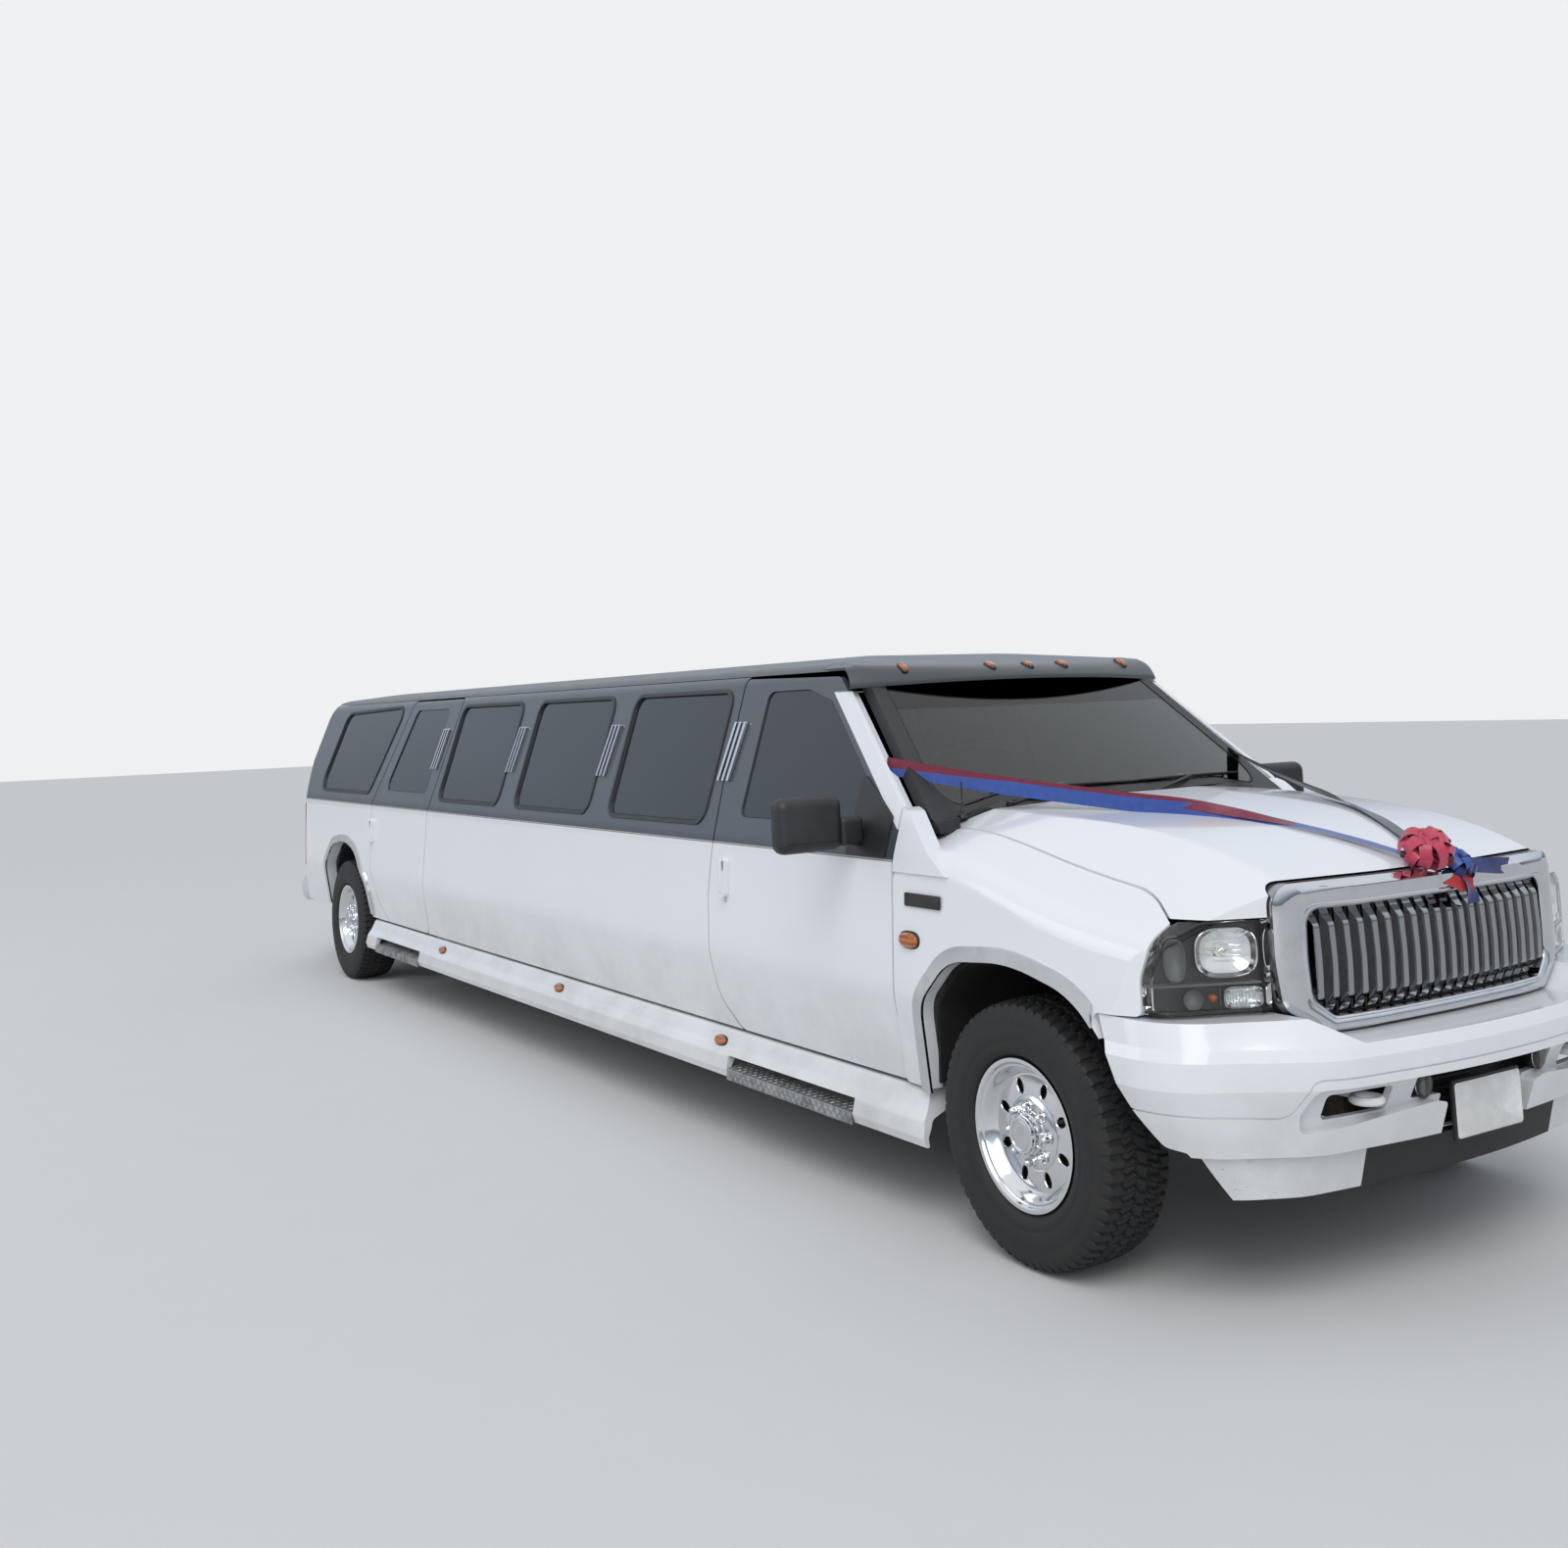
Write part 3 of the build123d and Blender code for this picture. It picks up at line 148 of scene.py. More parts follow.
class Shader:
    """A material being made. A socket is set by a value, or linked where the value is a socket."""

    def __init__(self, name):
        self.material = bpy.data.materials.new(name)
        self.material.use_nodes = True
        self.tree = self.material.node_tree
        self.surface = self.tree.nodes["Principled BSDF"]
        self.place = self.node("ShaderNodeTexCoord").outputs["Object"]

    def node(self, kind, values=None, **settings):
        made = self.tree.nodes.new(kind)
        for key, value in settings.items():
            setattr(made, key, value)
        for key, value in (values or {}).items():
            self.put(made.inputs[key], value)
        return made

    def put(self, socket, value):
        if isinstance(value, bpy.types.NodeSocket):
            self.tree.links.new(value, socket)
        elif isinstance(value, tuple) and len(value) == 3 and len(socket.default_value) == 4:
            socket.default_value = (*value, 1)
        else:
            socket.default_value = value

    def set(self, **values):
        for key, value in values.items():
            self.put(self.surface.inputs[key.replace("_", " ")], value)
        return self

    def stretched(self, scale):
        """Object coordinates scaled along each axis."""
        return self.node("ShaderNodeMapping", {"Vector": self.place, "Scale": scale}).outputs[0]

    def noise(self, scale, detail=4, rough=0.55, place=None):
        values = {"Vector": place or self.place, "Scale": scale, "Detail": detail, "Roughness": rough}
        return self.node("ShaderNodeTexNoise", values).outputs["Fac"]

    def cells(self, scale, place=None, feature="F1"):
        values = {"Vector": place or self.place, "Scale": scale}
        return self.node("ShaderNodeTexVoronoi", values, feature=feature).outputs["Distance"]

    def calc(self, operation, a, b=0.0, clamp=False):
        return self.node("ShaderNodeMath", {0: a, 1: b}, operation=operation, use_clamp=clamp).outputs[0]

    def times(self, a, b):
        return self.calc("MULTIPLY", a, b)

    def less(self, a, b, clamp=False):
        return self.calc("SUBTRACT", a, b, clamp)

    def step(self, value, low, high):
        """0 below low and 1 above high, or the other way round if low is above high."""
        values = {"Value": value, "From Min": low, "From Max": high}
        made = self.node("ShaderNodeMapRange", values, interpolation_type="SMOOTHSTEP")
        return made.outputs["Result"]

    def scaled(self, value, low, high):
        """A value from 0 to 1 spread from low to high."""
        values = {"Value": value, "To Min": low, "To Max": high}
        return self.node("ShaderNodeMapRange", values).outputs["Result"]

    def blend(self, share, a, b):
        """Colour a turning to colour b as share goes from 0 to 1."""
        made = self.node("ShaderNodeMix", data_type="RGBA")
        self.put(made.inputs["Factor"], share)
        self.put(made.inputs["A"], a)
        self.put(made.inputs["B"], b)
        return made.outputs["Result"]

    def axis(self, letter):
        return self.node("ShaderNodeSeparateXYZ", {0: self.place}).outputs[letter]

    def bump(self, height, distance, strength=1.0, under=None):
        values = {"Height": height, "Distance": distance, "Strength": strength}
        if under is not None:
            values["Normal"] = under
        return self.node("ShaderNodeBump", values).outputs["Normal"]


def road_dust(shader, colour, amount=1.0):
    """A colour dulled by dry road film, thickest near the ground."""
    low = shader.step(shader.axis("Z"), 0.95, 0.25)
    patches = shader.step(shader.noise(2.2, 6, 0.65), 0.35, 0.8)
    share = shader.times(low, shader.scaled(patches, 0.12 * amount, 0.5 * amount))
    return shader.blend(share, colour, (0.23, 0.20, 0.165))


def paint(name, two_tone):
    """Car paint under clear coat: white, or white with slate grey above the belt line."""
    s = Shader(name)
    white = s.blend(s.noise(0.9, 3), *white_shades)
    rough = s.scaled(s.noise(6, 5), 0.16, 0.30)
    if two_tone:
        grey = s.blend(s.noise(1.3, 4), (0.040, 0.051, 0.064), (0.052, 0.063, 0.076))
        height = s.axis("Z")
        upper = s.step(height, belt_z - seam, belt_z + seam)
        pillar = s.times(pillar_strip(s), upper)
        share = s.less(upper, pillar, clamp=True)
        white = s.blend(share, white, grey)
        line = s.step(s.calc("ABSOLUTE", s.less(height, belt_z - 0.004)), 0.0035, 0.0015)
        line = s.times(line, s.less(1.0, pillar))
        white = s.blend(s.times(line, 0.8), white, (0.10, 0.075, 0.06))
        rough = s.calc("ADD", rough, s.scaled(share, 0.0, 0.16))
        bright = louvre_share(s)
        white = s.blend(bright, white, (0.74, 0.75, 0.77))
        rough = s.times(rough, s.scaled(bright, 1.0, 0.25))
        s.set(Metallic=bright)
    s.set(Base_Color=road_dust(s, white), Roughness=rough, Coat_Weight=0.65, Coat_Roughness=0.08)
    s.set(Normal=s.bump(s.noise(260, 2), 0.0004, 0.12))
    return s.material


def pillar_strip(s):
    """1 on the front door's frame beside the windscreen pillar, which stays white up to the roof."""
    low, high = Vector(pillar_low), Vector(pillar_high)
    run = (high - low).normalized()
    across = s.times(s.less(s.axis("X"), low.x), run.z)
    down = s.times(s.less(s.axis("Z"), low.z), run.x)
    depth = s.less(down, across)
    near = s.step(depth, pillar_width, pillar_width - 0.004)
    return s.times(near, s.step(s.axis("Z"), high.z + 0.004, high.z - 0.004))


def louvre_share(s):
    """1 on the bright louvres, which stand proud of the doors' upper sides."""
    height = s.axis("Z")
    skin = s.less(upper_side_y, s.times(s.less(height, belt_z), upper_side_lean))
    proud = s.step(s.less(s.calc("ABSOLUTE", s.axis("Y")), skin), 0.0035, 0.006)
    low = s.step(height, louvre_z[0] - 0.006, louvre_z[0] - 0.003)
    high = s.step(height, louvre_z[1] + 0.006, louvre_z[1] + 0.003)
    return s.times(proud, s.times(low, high))


def bumper_paint():
    """White paint with a bare black middle to the valance, and scuffed lower corners."""
    s = Shader("bumper_paint")
    white = s.blend(s.noise(0.9, 3), *white_shades)
    side = s.calc("ABSOLUTE", s.axis("Y"))
    low = s.step(s.axis("Z"), valance_z + seam, valance_z - seam)
    black = s.times(low, s.step(side, valance_half_y + 0.001, valance_half_y - 0.001))
    scratch = s.step(s.noise(30, 8, 0.75, s.stretched((1, 0.35, 2.2))), 0.60, 0.66)
    corner = s.times(s.step(side, 0.62, 0.9), s.step(s.axis("Z"), 0.56, 0.40))
    scuff = s.times(scratch, corner)
    colour = s.blend(scuff, road_dust(s, white), (0.12, 0.12, 0.125))
    s.set(Base_Color=s.blend(black, colour, (0.016, 0.0165, 0.017)), Coat_Roughness=0.08)
    s.set(Roughness=s.scaled(s.calc("MAXIMUM", black, scuff), 0.24, 0.6))
    s.set(Coat_Weight=s.scaled(black, 0.6, 0.0), Normal=s.bump(s.noise(260, 2), 0.0004, 0.12))
    return s.material


def slate_paint():
    """The roof's grey paint, with sun-dulled patches."""
    s = Shader("slate_paint")
    fade = s.noise(1.1, 5)
    grey = s.blend(fade, (0.040, 0.050, 0.062), (0.062, 0.068, 0.074))
    s.set(Base_Color=grey, Roughness=s.scaled(s.noise(5, 6), 0.30, 0.48))
    s.set(Coat_Weight=0.35, Coat_Roughness=0.2)
    s.set(Normal=s.bump(s.noise(240, 2), 0.0004, 0.15))
    return s.material


def chrome(name="chrome", dull=0.0, tint=(0.64, 0.65, 0.67)):
    """Plated metal under a thin film of dust."""
    s = Shader(name)
    film = s.step(s.noise(14, 6, 0.7), 0.45, 0.8)
    colour = s.blend(film, tint, tuple(c * 0.85 for c in tint))
    s.set(Base_Color=colour, Metallic=1.0, Roughness=s.scaled(film, 0.03 + dull, 0.12 + dull))
    s.set(Normal=s.bump(s.noise(9, 3), 0.002, 0.12))
    return s.material


def bar_chrome():
    """Chrome on the faces of the grille's bars, darkened as a painted dark reflection, and black as painted
    shade in the deep gaps between them.
    """
    s = Shader("bar_chrome")
    side = s.calc("DIVIDE", s.axis("Y"), bar_bow_at)
    face = s.less(bar_face_x, s.times(s.times(side, side), bar_bow))
    depth = s.less(face, s.axis("X"))
    deep = s.step(depth, bar_bevel, bar_bevel + 0.012)
    # The dark grey chrome is a painted dark reflection; the black deeper in is painted shade in the gaps
    # between the bars.
    colour = s.blend(deep, (0.36, 0.365, 0.375), (0.012, 0.012, 0.013))
    s.set(Base_Color=colour, Metallic=s.less(1.0, deep), Roughness=s.scaled(deep, 0.06, 0.5))
    s.set(Normal=s.bump(s.noise(9, 3), 0.002, 0.12))
    return s.material


def plastic(name, colour, rough=0.55, grain=900):
    """Moulded plastic with a fine grain, greyed a little by the weather."""
    s = Shader(name)
    worn = s.step(s.noise(5, 6, 0.65), 0.4, 0.85)
    pale = tuple(min(1.0, c * 1.5 + 0.012) for c in colour)
    s.set(Base_Color=s.blend(worn, colour, pale), Roughness=s.scaled(worn, rough, rough + 0.18))
    s.set(Normal=s.bump(s.noise(grain, 2), 0.0006, 0.35))
    return s.material


def rubber(name, colour=(0.018, 0.019, 0.02)):
    s = Shader(name)
    dust = s.step(s.noise(7, 7, 0.7), 0.42, 0.8)
    brown = s.blend(dust, colour, (0.034, 0.031, 0.027))
    s.set(Base_Color=brown, Roughness=s.scaled(dust, 0.62, 0.85), Specular_IOR_Level=0.35)
    s.set(Normal=s.bump(s.noise(420, 3), 0.0008, 0.4))
    return s.material


def dark_glass():
    """Tinted privacy glass, nearly black by day, with a faint wave in its reflection."""
    s = Shader("dark_glass")
    tint = s.blend(s.noise(0.8, 2), (0.010, 0.014, 0.018), (0.016, 0.021, 0.027))
    s.set(Base_Color=tint, Roughness=0.015, IOR=1.52, Specular_IOR_Level=0.75)
    s.set(Normal=s.bump(s.noise(2.5, 2), 0.004, 0.25))
    return s.material


def clear_glass(name, tint=(0.80, 0.88, 0.86)):
    s = Shader(name)
    film = s.step(s.noise(3, 6), 0.5, 0.9)
    s.set(Base_Color=s.blend(film, tint, tuple(c * 0.93 for c in tint)), Roughness=s.scaled(film, 0.0, 0.03))
    s.set(Transmission_Weight=1.0, IOR=1.45)
    return s.material


def screen_glass():
    """The windscreen: tinted glass with a black band across its top, painted as the visor's shade."""
    s = Shader("windscreen_glass")
    film = s.step(s.noise(3, 6), 0.5, 0.9)
    tint = s.blend(film, (0.40, 0.44, 0.42), (0.36, 0.39, 0.37))
    # Black across the glass's top: painted shade of the visor, not a tint in the glass.
    visor_shade = s.step(s.axis("Z"), visor_shade_z - 0.003, visor_shade_z + 0.003)
    s.set(Base_Color=s.blend(visor_shade, tint, (0.004, 0.004, 0.004)), Roughness=s.scaled(film, 0.0, 0.02))
    s.set(Transmission_Weight=1.0, IOR=1.50)
    return s.material


def lens(name, colour, pitch=0.011):
    """A coloured lens with moulded flutes behind a smooth face."""
    s = Shader(name)
    values = {"Vector": s.place, "Scale": 1 / pitch / 6}
    wave = s.node("ShaderNodeTexWave", values, bands_direction="Z").outputs["Fac"]
    deep = tuple(c * 0.45 for c in colour)
    s.set(Base_Color=s.blend(wave, colour, deep), Roughness=0.12, Transmission_Weight=0.3, IOR=1.49)
    s.set(Coat_Weight=0.8, Coat_Roughness=0.03, Normal=s.bump(wave, 0.002, 0.5))
    return s.material


def bare_metal(name, colour, rust=0.5, rough=0.55):
    """Chassis steel under thin black paint, with rust coming through."""
    s = Shader(name)
    spread = s.step(s.noise(11, 8, 0.7), 0.62 - 0.25 * rust, 0.85 - 0.25 * rust)
    brown = s.blend(s.noise(60, 4), (0.13, 0.055, 0.025), (0.20, 0.105, 0.055))
    s.set(Base_Color=s.blend(spread, colour, brown), Roughness=s.scaled(spread, rough, 0.9), Metallic=0.0)
    s.set(Normal=s.bump(s.noise(120, 5), 0.0015, 0.4))
    return s.material


def carpet():
    s = Shader("carpet")
    tuft = s.cells(420)
    s.set(Base_Color=s.blend(tuft, (0.02, 0.02, 0.022), (0.075, 0.073, 0.072)), Roughness=0.95)
    s.set(Sheen_Weight=0.3, Normal=s.bump(tuft, 0.003, 0.8))
    return s.material


def leather(name, colour=(0.062, 0.056, 0.052)):
    s = Shader(name)
    grain = s.cells(240)
    pores = s.noise(900, 3)
    worn = s.step(s.noise(4, 5), 0.45, 0.85)
    pale = tuple(c * 1.7 for c in colour)
    s.set(Base_Color=s.blend(worn, colour, pale), Roughness=s.scaled(worn, 0.42, 0.6))
    s.set(Normal=s.bump(grain, 0.0012, 0.5, s.bump(pores, 0.0004, 0.3)))
    return s.material


def step_metal():
    """Worn aluminium for the chequer plate."""
    s = Shader("step_metal")
    grime = s.step(s.noise(18, 7, 0.7), 0.38, 0.75)
    s.set(Base_Color=s.blend(grime, (0.36, 0.37, 0.38), (0.11, 0.105, 0.10)), Metallic=0.75)
    s.set(Roughness=s.scaled(grime, 0.32, 0.62), Normal=s.bump(s.noise(160, 4), 0.001, 0.4))
    return s.material


def satin(name, colour):
    """Ribbon satin: a soft sheen, creases darkened with painted shade, and a fine weave."""
    s = Shader(name)
    crease_and_shade = s.noise(38, 4)
    weave = s.noise(1500, 2)
    deep = tuple(c * 0.55 for c in colour)
    # The darker colour along the creases is painted shade; the creases' relief comes from the bump.
    s.set(Base_Color=s.blend(crease_and_shade, colour, deep), Roughness=0.38, Sheen_Weight=0.3, Sheen_Roughness=0.4)
    s.set(Normal=s.bump(crease_and_shade, 0.004, 0.5, s.bump(weave, 0.0004, 0.3)))
    return s.material


def make_materials():
    return {
        "two_tone": paint("two_tone_paint", True),
        "white": paint("white_paint", False),
        "slate": slate_paint(),
        "bumper": bumper_paint(),
        "chrome": chrome(),
        "wheel": chrome("wheel_alloy", 0.08, (0.72, 0.73, 0.75)),
        "bars": bar_chrome(),
        "rubber": rubber("tyre_rubber"),
        "seal": rubber("seal_rubber", (0.012, 0.012, 0.013)),
        "dark_glass": dark_glass(),
        "windscreen": screen_glass(),
        "lamp_lens": clear_glass("lamp_lens", (0.93, 0.95, 0.95)),
        "amber": lens("amber_lens", (0.80, 0.20, 0.012)),
        "red": lens("red_lens", (0.42, 0.008, 0.012)),
        "black_plastic": plastic("black_plastic", (0.014, 0.0145, 0.0155), 0.42),
        "trim_plastic": plastic("trim_plastic", (0.030, 0.033, 0.037), 0.5),
        "liner": plastic("arch_liner", (0.008, 0.008, 0.008), 0.8, 200),
        "chassis": bare_metal("chassis_steel", (0.014, 0.014, 0.014)),
        "cast": bare_metal("cast_metal", (0.06, 0.06, 0.06), 0.3, 0.6),
        "carpet": carpet(),
        "leather": leather("seat_leather"),
        "dash": plastic("dash_plastic", (0.035, 0.032, 0.030), 0.6, 500),
        "step_metal": step_metal(),
        "cap_face": chrome("cap_face", 0.30),
        "reflector": chrome("lamp_reflector", 0.10, (0.90, 0.91, 0.92)),
        "lamp_black": plastic("lamp_black", (0.012, 0.012, 0.013), 0.45),
        "lamp_grey": plastic("lamp_grey", (0.16, 0.165, 0.17), 0.4),
        "bulb": clear_glass("bulb_glass", (0.95, 0.93, 0.88)),
        "plate_white": plastic("plate_white", (0.60, 0.60, 0.585), 0.35),
        "mirror_glass": chrome("mirror_glass", 0.0, (0.78, 0.79, 0.80)),
        "petal": plastic("flower_petal", (0.62, 0.61, 0.55), 0.6, 160),
        "leaf": plastic("flower_leaf", (0.028, 0.075, 0.022), 0.5, 160),
        "visor_under": plastic("visor_underside", (0.010, 0.010, 0.011), 0.6),
        "ribbon_blue": satin("ribbon_blue", (0.045, 0.105, 0.42)),
        "ribbon_wine": satin("ribbon_wine", (0.23, 0.022, 0.055)),
        "ribbon_grey": satin("ribbon_grey", (0.055, 0.065, 0.095)),
        "ribbon_navy": satin("ribbon_navy", (0.012, 0.025, 0.16)),
        "ribbon_pink": satin("ribbon_pink", (0.62, 0.055, 0.115)),
        "ribbon_red": satin("ribbon_red", (0.52, 0.018, 0.020)),
    }


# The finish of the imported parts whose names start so; the first row that fits counts
finish_of = [
    ("rubber", "tyre_"),
    ("liner", "wheel_housings"),
    ("wheel", "wheel_"),
    ("dark_glass", "front_door_glass", "rear_door_glass", "side_windows", "lift_glass"),
    ("windscreen", "windscreen"),
    ("lamp_lens", "headlamps"),
    ("bars", "grille"),
    ("chrome", "pillar_louvres", "arch_trims"),
    ("amber", "marker_lamps"),
    ("red", "tail_lamps"),
    ("step_metal", "steps"),
    ("leather", "front_seats", "lounge_seats"),
    ("carpet", "floor_pan"),
    ("cast", "engine_block"),
    ("chassis", "frame_rails", "cross_members", "leaf_springs", "front_axle", "rear_axle", "drive_shaft",
     "knuckle_", "fuel_tank", "tow_receiver"),
    ("black_plastic", "cowl_panel", "mirror_"),
    ("trim_plastic", "window_frames"),
    ("dash", "dashboard", "steering_wheel"),
    ("slate", "roof_panel", "roof_visor"),
    ("bumper", "front_bumper"),
    ("white", "hood", "front_wings", "rear_bumper", "running_boards"),
    ("two_tone", ""),
]


def finish_packed_parts(materials):
    for name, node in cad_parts.items():
        finish = next(row[0] for row in finish_of if name.startswith(row[1:]))
        node.data.materials.clear()
        node.data.materials.append(materials[finish])


# Mesh helpers. Places are in metres from the front axle's middle on the ground.

def spot(x, y, z):
    return Vector((front_axle_x + x, y, z))


def add_piece(name, bm, looks, body, sharp=38.0):
    """Makes a piece of a bmesh, smooth but for its sharp edges, which rides on a body."""
    limit = math.radians(sharp)
    bmesh.ops.recalc_face_normals(bm, faces=bm.faces)
    for face in bm.faces:
        face.smooth = True
    for edge in bm.edges:
        if len(edge.link_faces) == 2 and edge.calc_face_angle(0) > limit:
            edge.smooth = False
    mesh = bpy.data.meshes.new(name)
    bm.to_mesh(mesh)
    bm.free()
    for look in looks if isinstance(looks, list) else [looks]:
        mesh.materials.append(materials[look])
    piece = link(name, mesh)
    if body is not None:
        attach(piece, body)
    return piece


def faces_between(bm, low, high, closed=True):
    """Joins two rows of vertices by a band of faces."""
    count = len(low)
    made = []
    for i in range(count if closed else count - 1):
        j = (i + 1) % count
        made.append(bm.faces.new((low[i], low[j], high[j], high[i])))
    return made


def sweep(bm, rows, closed_row=True, closed_run=False, caps=True, look=0):
    """Skins rows of places; closed rows get a cap at each end, unless the run is closed too."""
    grid = [[bm.verts.new(place) for place in row] for row in rows]
    made = []
    for a, b in zip(grid, grid[1:] + (grid[:1] if closed_run else [])):
        made += faces_between(bm, a, b, closed_row)
    if caps and closed_row and not closed_run:
        made.append(bm.faces.new(list(reversed(grid[0]))))
        made.append(bm.faces.new(grid[-1]))
    for face in made:
        face.material_index = look
    return made


def tube(bm, places, radius, steps=12, look=0):
    """A round bar through places; radius is a number or one number a place."""
    rows = []
    side = None
    for i, place in enumerate(places):
        ahead = places[min(i + 1, len(places) - 1)] - places[max(i - 1, 0)]
        ahead.normalize()
        if side is None:
            side = ahead.orthogonal().normalized()
        side = (side - ahead * side.dot(ahead)).normalized()
        other = ahead.cross(side)
        r = radius[i] if isinstance(radius, (list, tuple)) else radius
        turns = [2 * math.pi * k / steps for k in range(steps)]
        rows.append([place + (side * math.cos(t) + other * math.sin(t)) * r for t in turns])
    return sweep(bm, rows, look=look)


def curve_through(places, steps=8):
    """A smooth run of places through the given ones."""
    result = []
    count = len(places)
    for i in range(count - 1):
        p0 = places[max(i - 1, 0)]
        p1, p2 = places[i], places[i + 1]
        p3 = places[min(i + 2, count - 1)]
        for k in range(steps):
            t = k / steps
            result.append(0.5 * (2 * p1 + (p2 - p0) * t + (2 * p0 - 5 * p1 + 4 * p2 - p3) * t * t
                                 + (3 * p1 - p0 - 3 * p2 + p3) * t ** 3))
    result.append(places[-1].copy())
    return result


def round_y(turn, radius, out=0.0):
    """A place round the Y axis: its turn, its radius, and how far out it is along the axis."""
    return Vector((math.cos(turn) * radius, out, math.sin(turn) * radius))


def turned_on_y(bm, middle, section, sign=1, steps=64, look=0, closed=False):
    """A section of (outward, radius) turned about the Y axis through a place."""
    rows = []
    for k in range(steps):
        turn = 2 * math.pi * k / steps
        rows.append([middle + round_y(turn, r, sign * out) for out, r in section])
    return sweep(bm, rows, closed_row=closed, closed_run=True, look=look)


def oval(middle, across, up, half, steps, power=2.0):
    """Places round an oval laid on two directions, or round a squarer form with a higher power."""
    places = []
    for k in range(steps):
        turn = 2 * math.pi * k / steps
        c, s = math.cos(turn), math.sin(turn)
        u = math.copysign(abs(c) ** (2 / power), c) * half[0]
        v = math.copysign(abs(s) ** (2 / power), s) * half[1]
        places.append(middle + across * u + up * v)
    return places


def rounded_box(bm, low, high, radius, segments=3, look=0):
    """A box between two corners with its edges rounded."""
    verts = bmesh.ops.create_cube(bm, size=1.0)["verts"]
    for vert in verts:
        vert.co = vert.co * (high - low) + (low + high) / 2
    edges = list({edge for vert in verts for edge in vert.link_edges})
    faces = {face for vert in verts for face in vert.link_faces}
    result = bmesh.ops.bevel(bm, geom=edges, offset=radius, segments=segments, affect="EDGES", profile=0.5)
    for face in faces | set(result["faces"]):
        if face.is_valid:
            face.material_index = look


def plate(bm, outline, origin, across, up, thick, bevel=0.0, segments=2, look=0):
    """A flat plate: an outline of (u, v) laid on two directions and thickened along their cross product."""
    out = across.cross(up).normalized()
    front = [bm.verts.new(origin + across * u + up * v + out * thick) for u, v in outline]
    back = [bm.verts.new(origin + across * u + up * v) for u, v in outline]
    faces = [bm.faces.new(front), bm.faces.new(list(reversed(back)))]
    faces += faces_between(bm, back, front)
    if bevel:
        edges = list(faces[0].edges)
        result = bmesh.ops.bevel(bm, geom=edges, offset=bevel, segments=segments, affect="EDGES", profile=0.5)
        faces += result["faces"]
    for face in faces:
        if face.is_valid:
            face.material_index = look


def add_tube(name, places, radius, steps, look, body="car", sharp=38.0):
    """A piece that is one round bar."""
    bm = bmesh.new()
    tube(bm, places, radius, steps)
    return add_piece(name, bm, look, body, sharp)


def add_box(name, low, high, radius, segments, look, body="car"):
    """A piece that is one rounded box."""
    bm = bmesh.new()
    rounded_box(bm, low, high, radius, segments)
    return add_piece(name, bm, look, body)


def rounded_rectangle(width, height, radius, steps=6):
    """The outline of a rectangle with round corners, about its middle."""
    points = []
    for cx, cy, start in ((1, 1, 0), (-1, 1, 90), (-1, -1, 180), (1, -1, 270)):
        for k in range(steps + 1):
            turn = math.radians(start + 90 * k / steps)
            points.append((
                cx * (width / 2 - radius) + math.cos(turn) * radius,
                cy * (height / 2 - radius) + math.sin(turn) * radius,
            ))
    return points


def surface_of(*names):
    """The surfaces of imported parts, to be met by rays."""
    places, faces = [], []
    for name in names:
        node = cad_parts[name]
        start = len(places)
        places += [node.matrix_world @ v.co for v in node.data.vertices]
        faces += [tuple(start + v for v in face.vertices) for face in node.data.polygons]
    return BVHTree.FromPolygons(places, faces)


def rounded_outline(corners, arc_steps=8, side_steps=6):
    """The closed outline of (u, v, radius) corners: an arc at each, and the sides between cut evenly."""
    arcs = []
    count = len(corners)
    for i, (u, v, radius) in enumerate(corners):
        here = Vector((u, v))
        back = (Vector(corners[i - 1][:2]) - here).normalized()
        on = (Vector(corners[(i + 1) % count][:2]) - here).normalized()
        half = back.angle(on) / 2
        middle = here + (back + on).normalized() * (radius / math.sin(half))
        first = here + back * (radius / math.tan(half)) - middle
        last = here + on * (radius / math.tan(half)) - middle
        spokes = [first.lerp(last, k / arc_steps).normalized() for k in range(arc_steps + 1)]
        arcs.append([middle + spoke * radius for spoke in spokes])
    places = []
    for i, arc in enumerate(arcs):
        places += arc
        after = arcs[(i + 1) % count][0]
        places += [arc[-1].lerp(after, k / side_steps) for k in range(1, side_steps)]
    return places


def both_halves(half):
    """Corners (y, z, radius) of the left half, from the foot up, with their mirror images."""
    return half + [(-y, z, radius) for y, z, radius in reversed(half)]


def side_y(z):
    """How far the cabin's side is from the middle at a height between the sill and the roof's edge."""
    stations = [(0.445, 0.958), (0.752, 1.014), (1.188, 0.998), (1.835, 0.788)]
    for (z0, y0), (z1, y1) in zip(stations, stations[1:]):
        if z <= z1:
            return y0 + (y1 - y0) * (z - z0) / (z1 - z0)
    return stations[-1][1]


# Tyres: a fine grid whose radius falls into the grooves of an all-terrain tread

tyre_profile = [
    (0.0975, 0.2135), (0.101, 0.229), (0.112, 0.2335), (0.120, 0.240), (0.1265, 0.254), (0.130, 0.270),
    (0.1285, 0.274), (0.1310, 0.279), (0.1320, 0.300), (0.1320, 0.322), (0.1300, 0.326), (0.1305, 0.338),
    (0.1285, 0.352), (0.1250, 0.366), (0.1190, 0.3785), (0.1120, 0.3870),
]
tread_half = 0.112
tread_steps = 56
tread_pitches = 62
steps_per_pitch = 10
groove_depth = 0.0095
crown_drop = 0.0100
# The rows of the profile below the tread that carry the shoulder's lugs, and the radius from which they do
lug_rows = 4
lug_foot = 0.36
# Grooves round the tyre: their places, half width, slope, and how far they zigzag
groove_lines = (-0.067, -0.024, 0.024, 0.067)
groove_half, groove_slope, groove_zig = 0.0028, 0.002, 0.006


def cut_share(away, half, slope):
    """1 within half a groove's width, falling over its slope."""
    return 1 - max(0.0, (away - half) / slope)


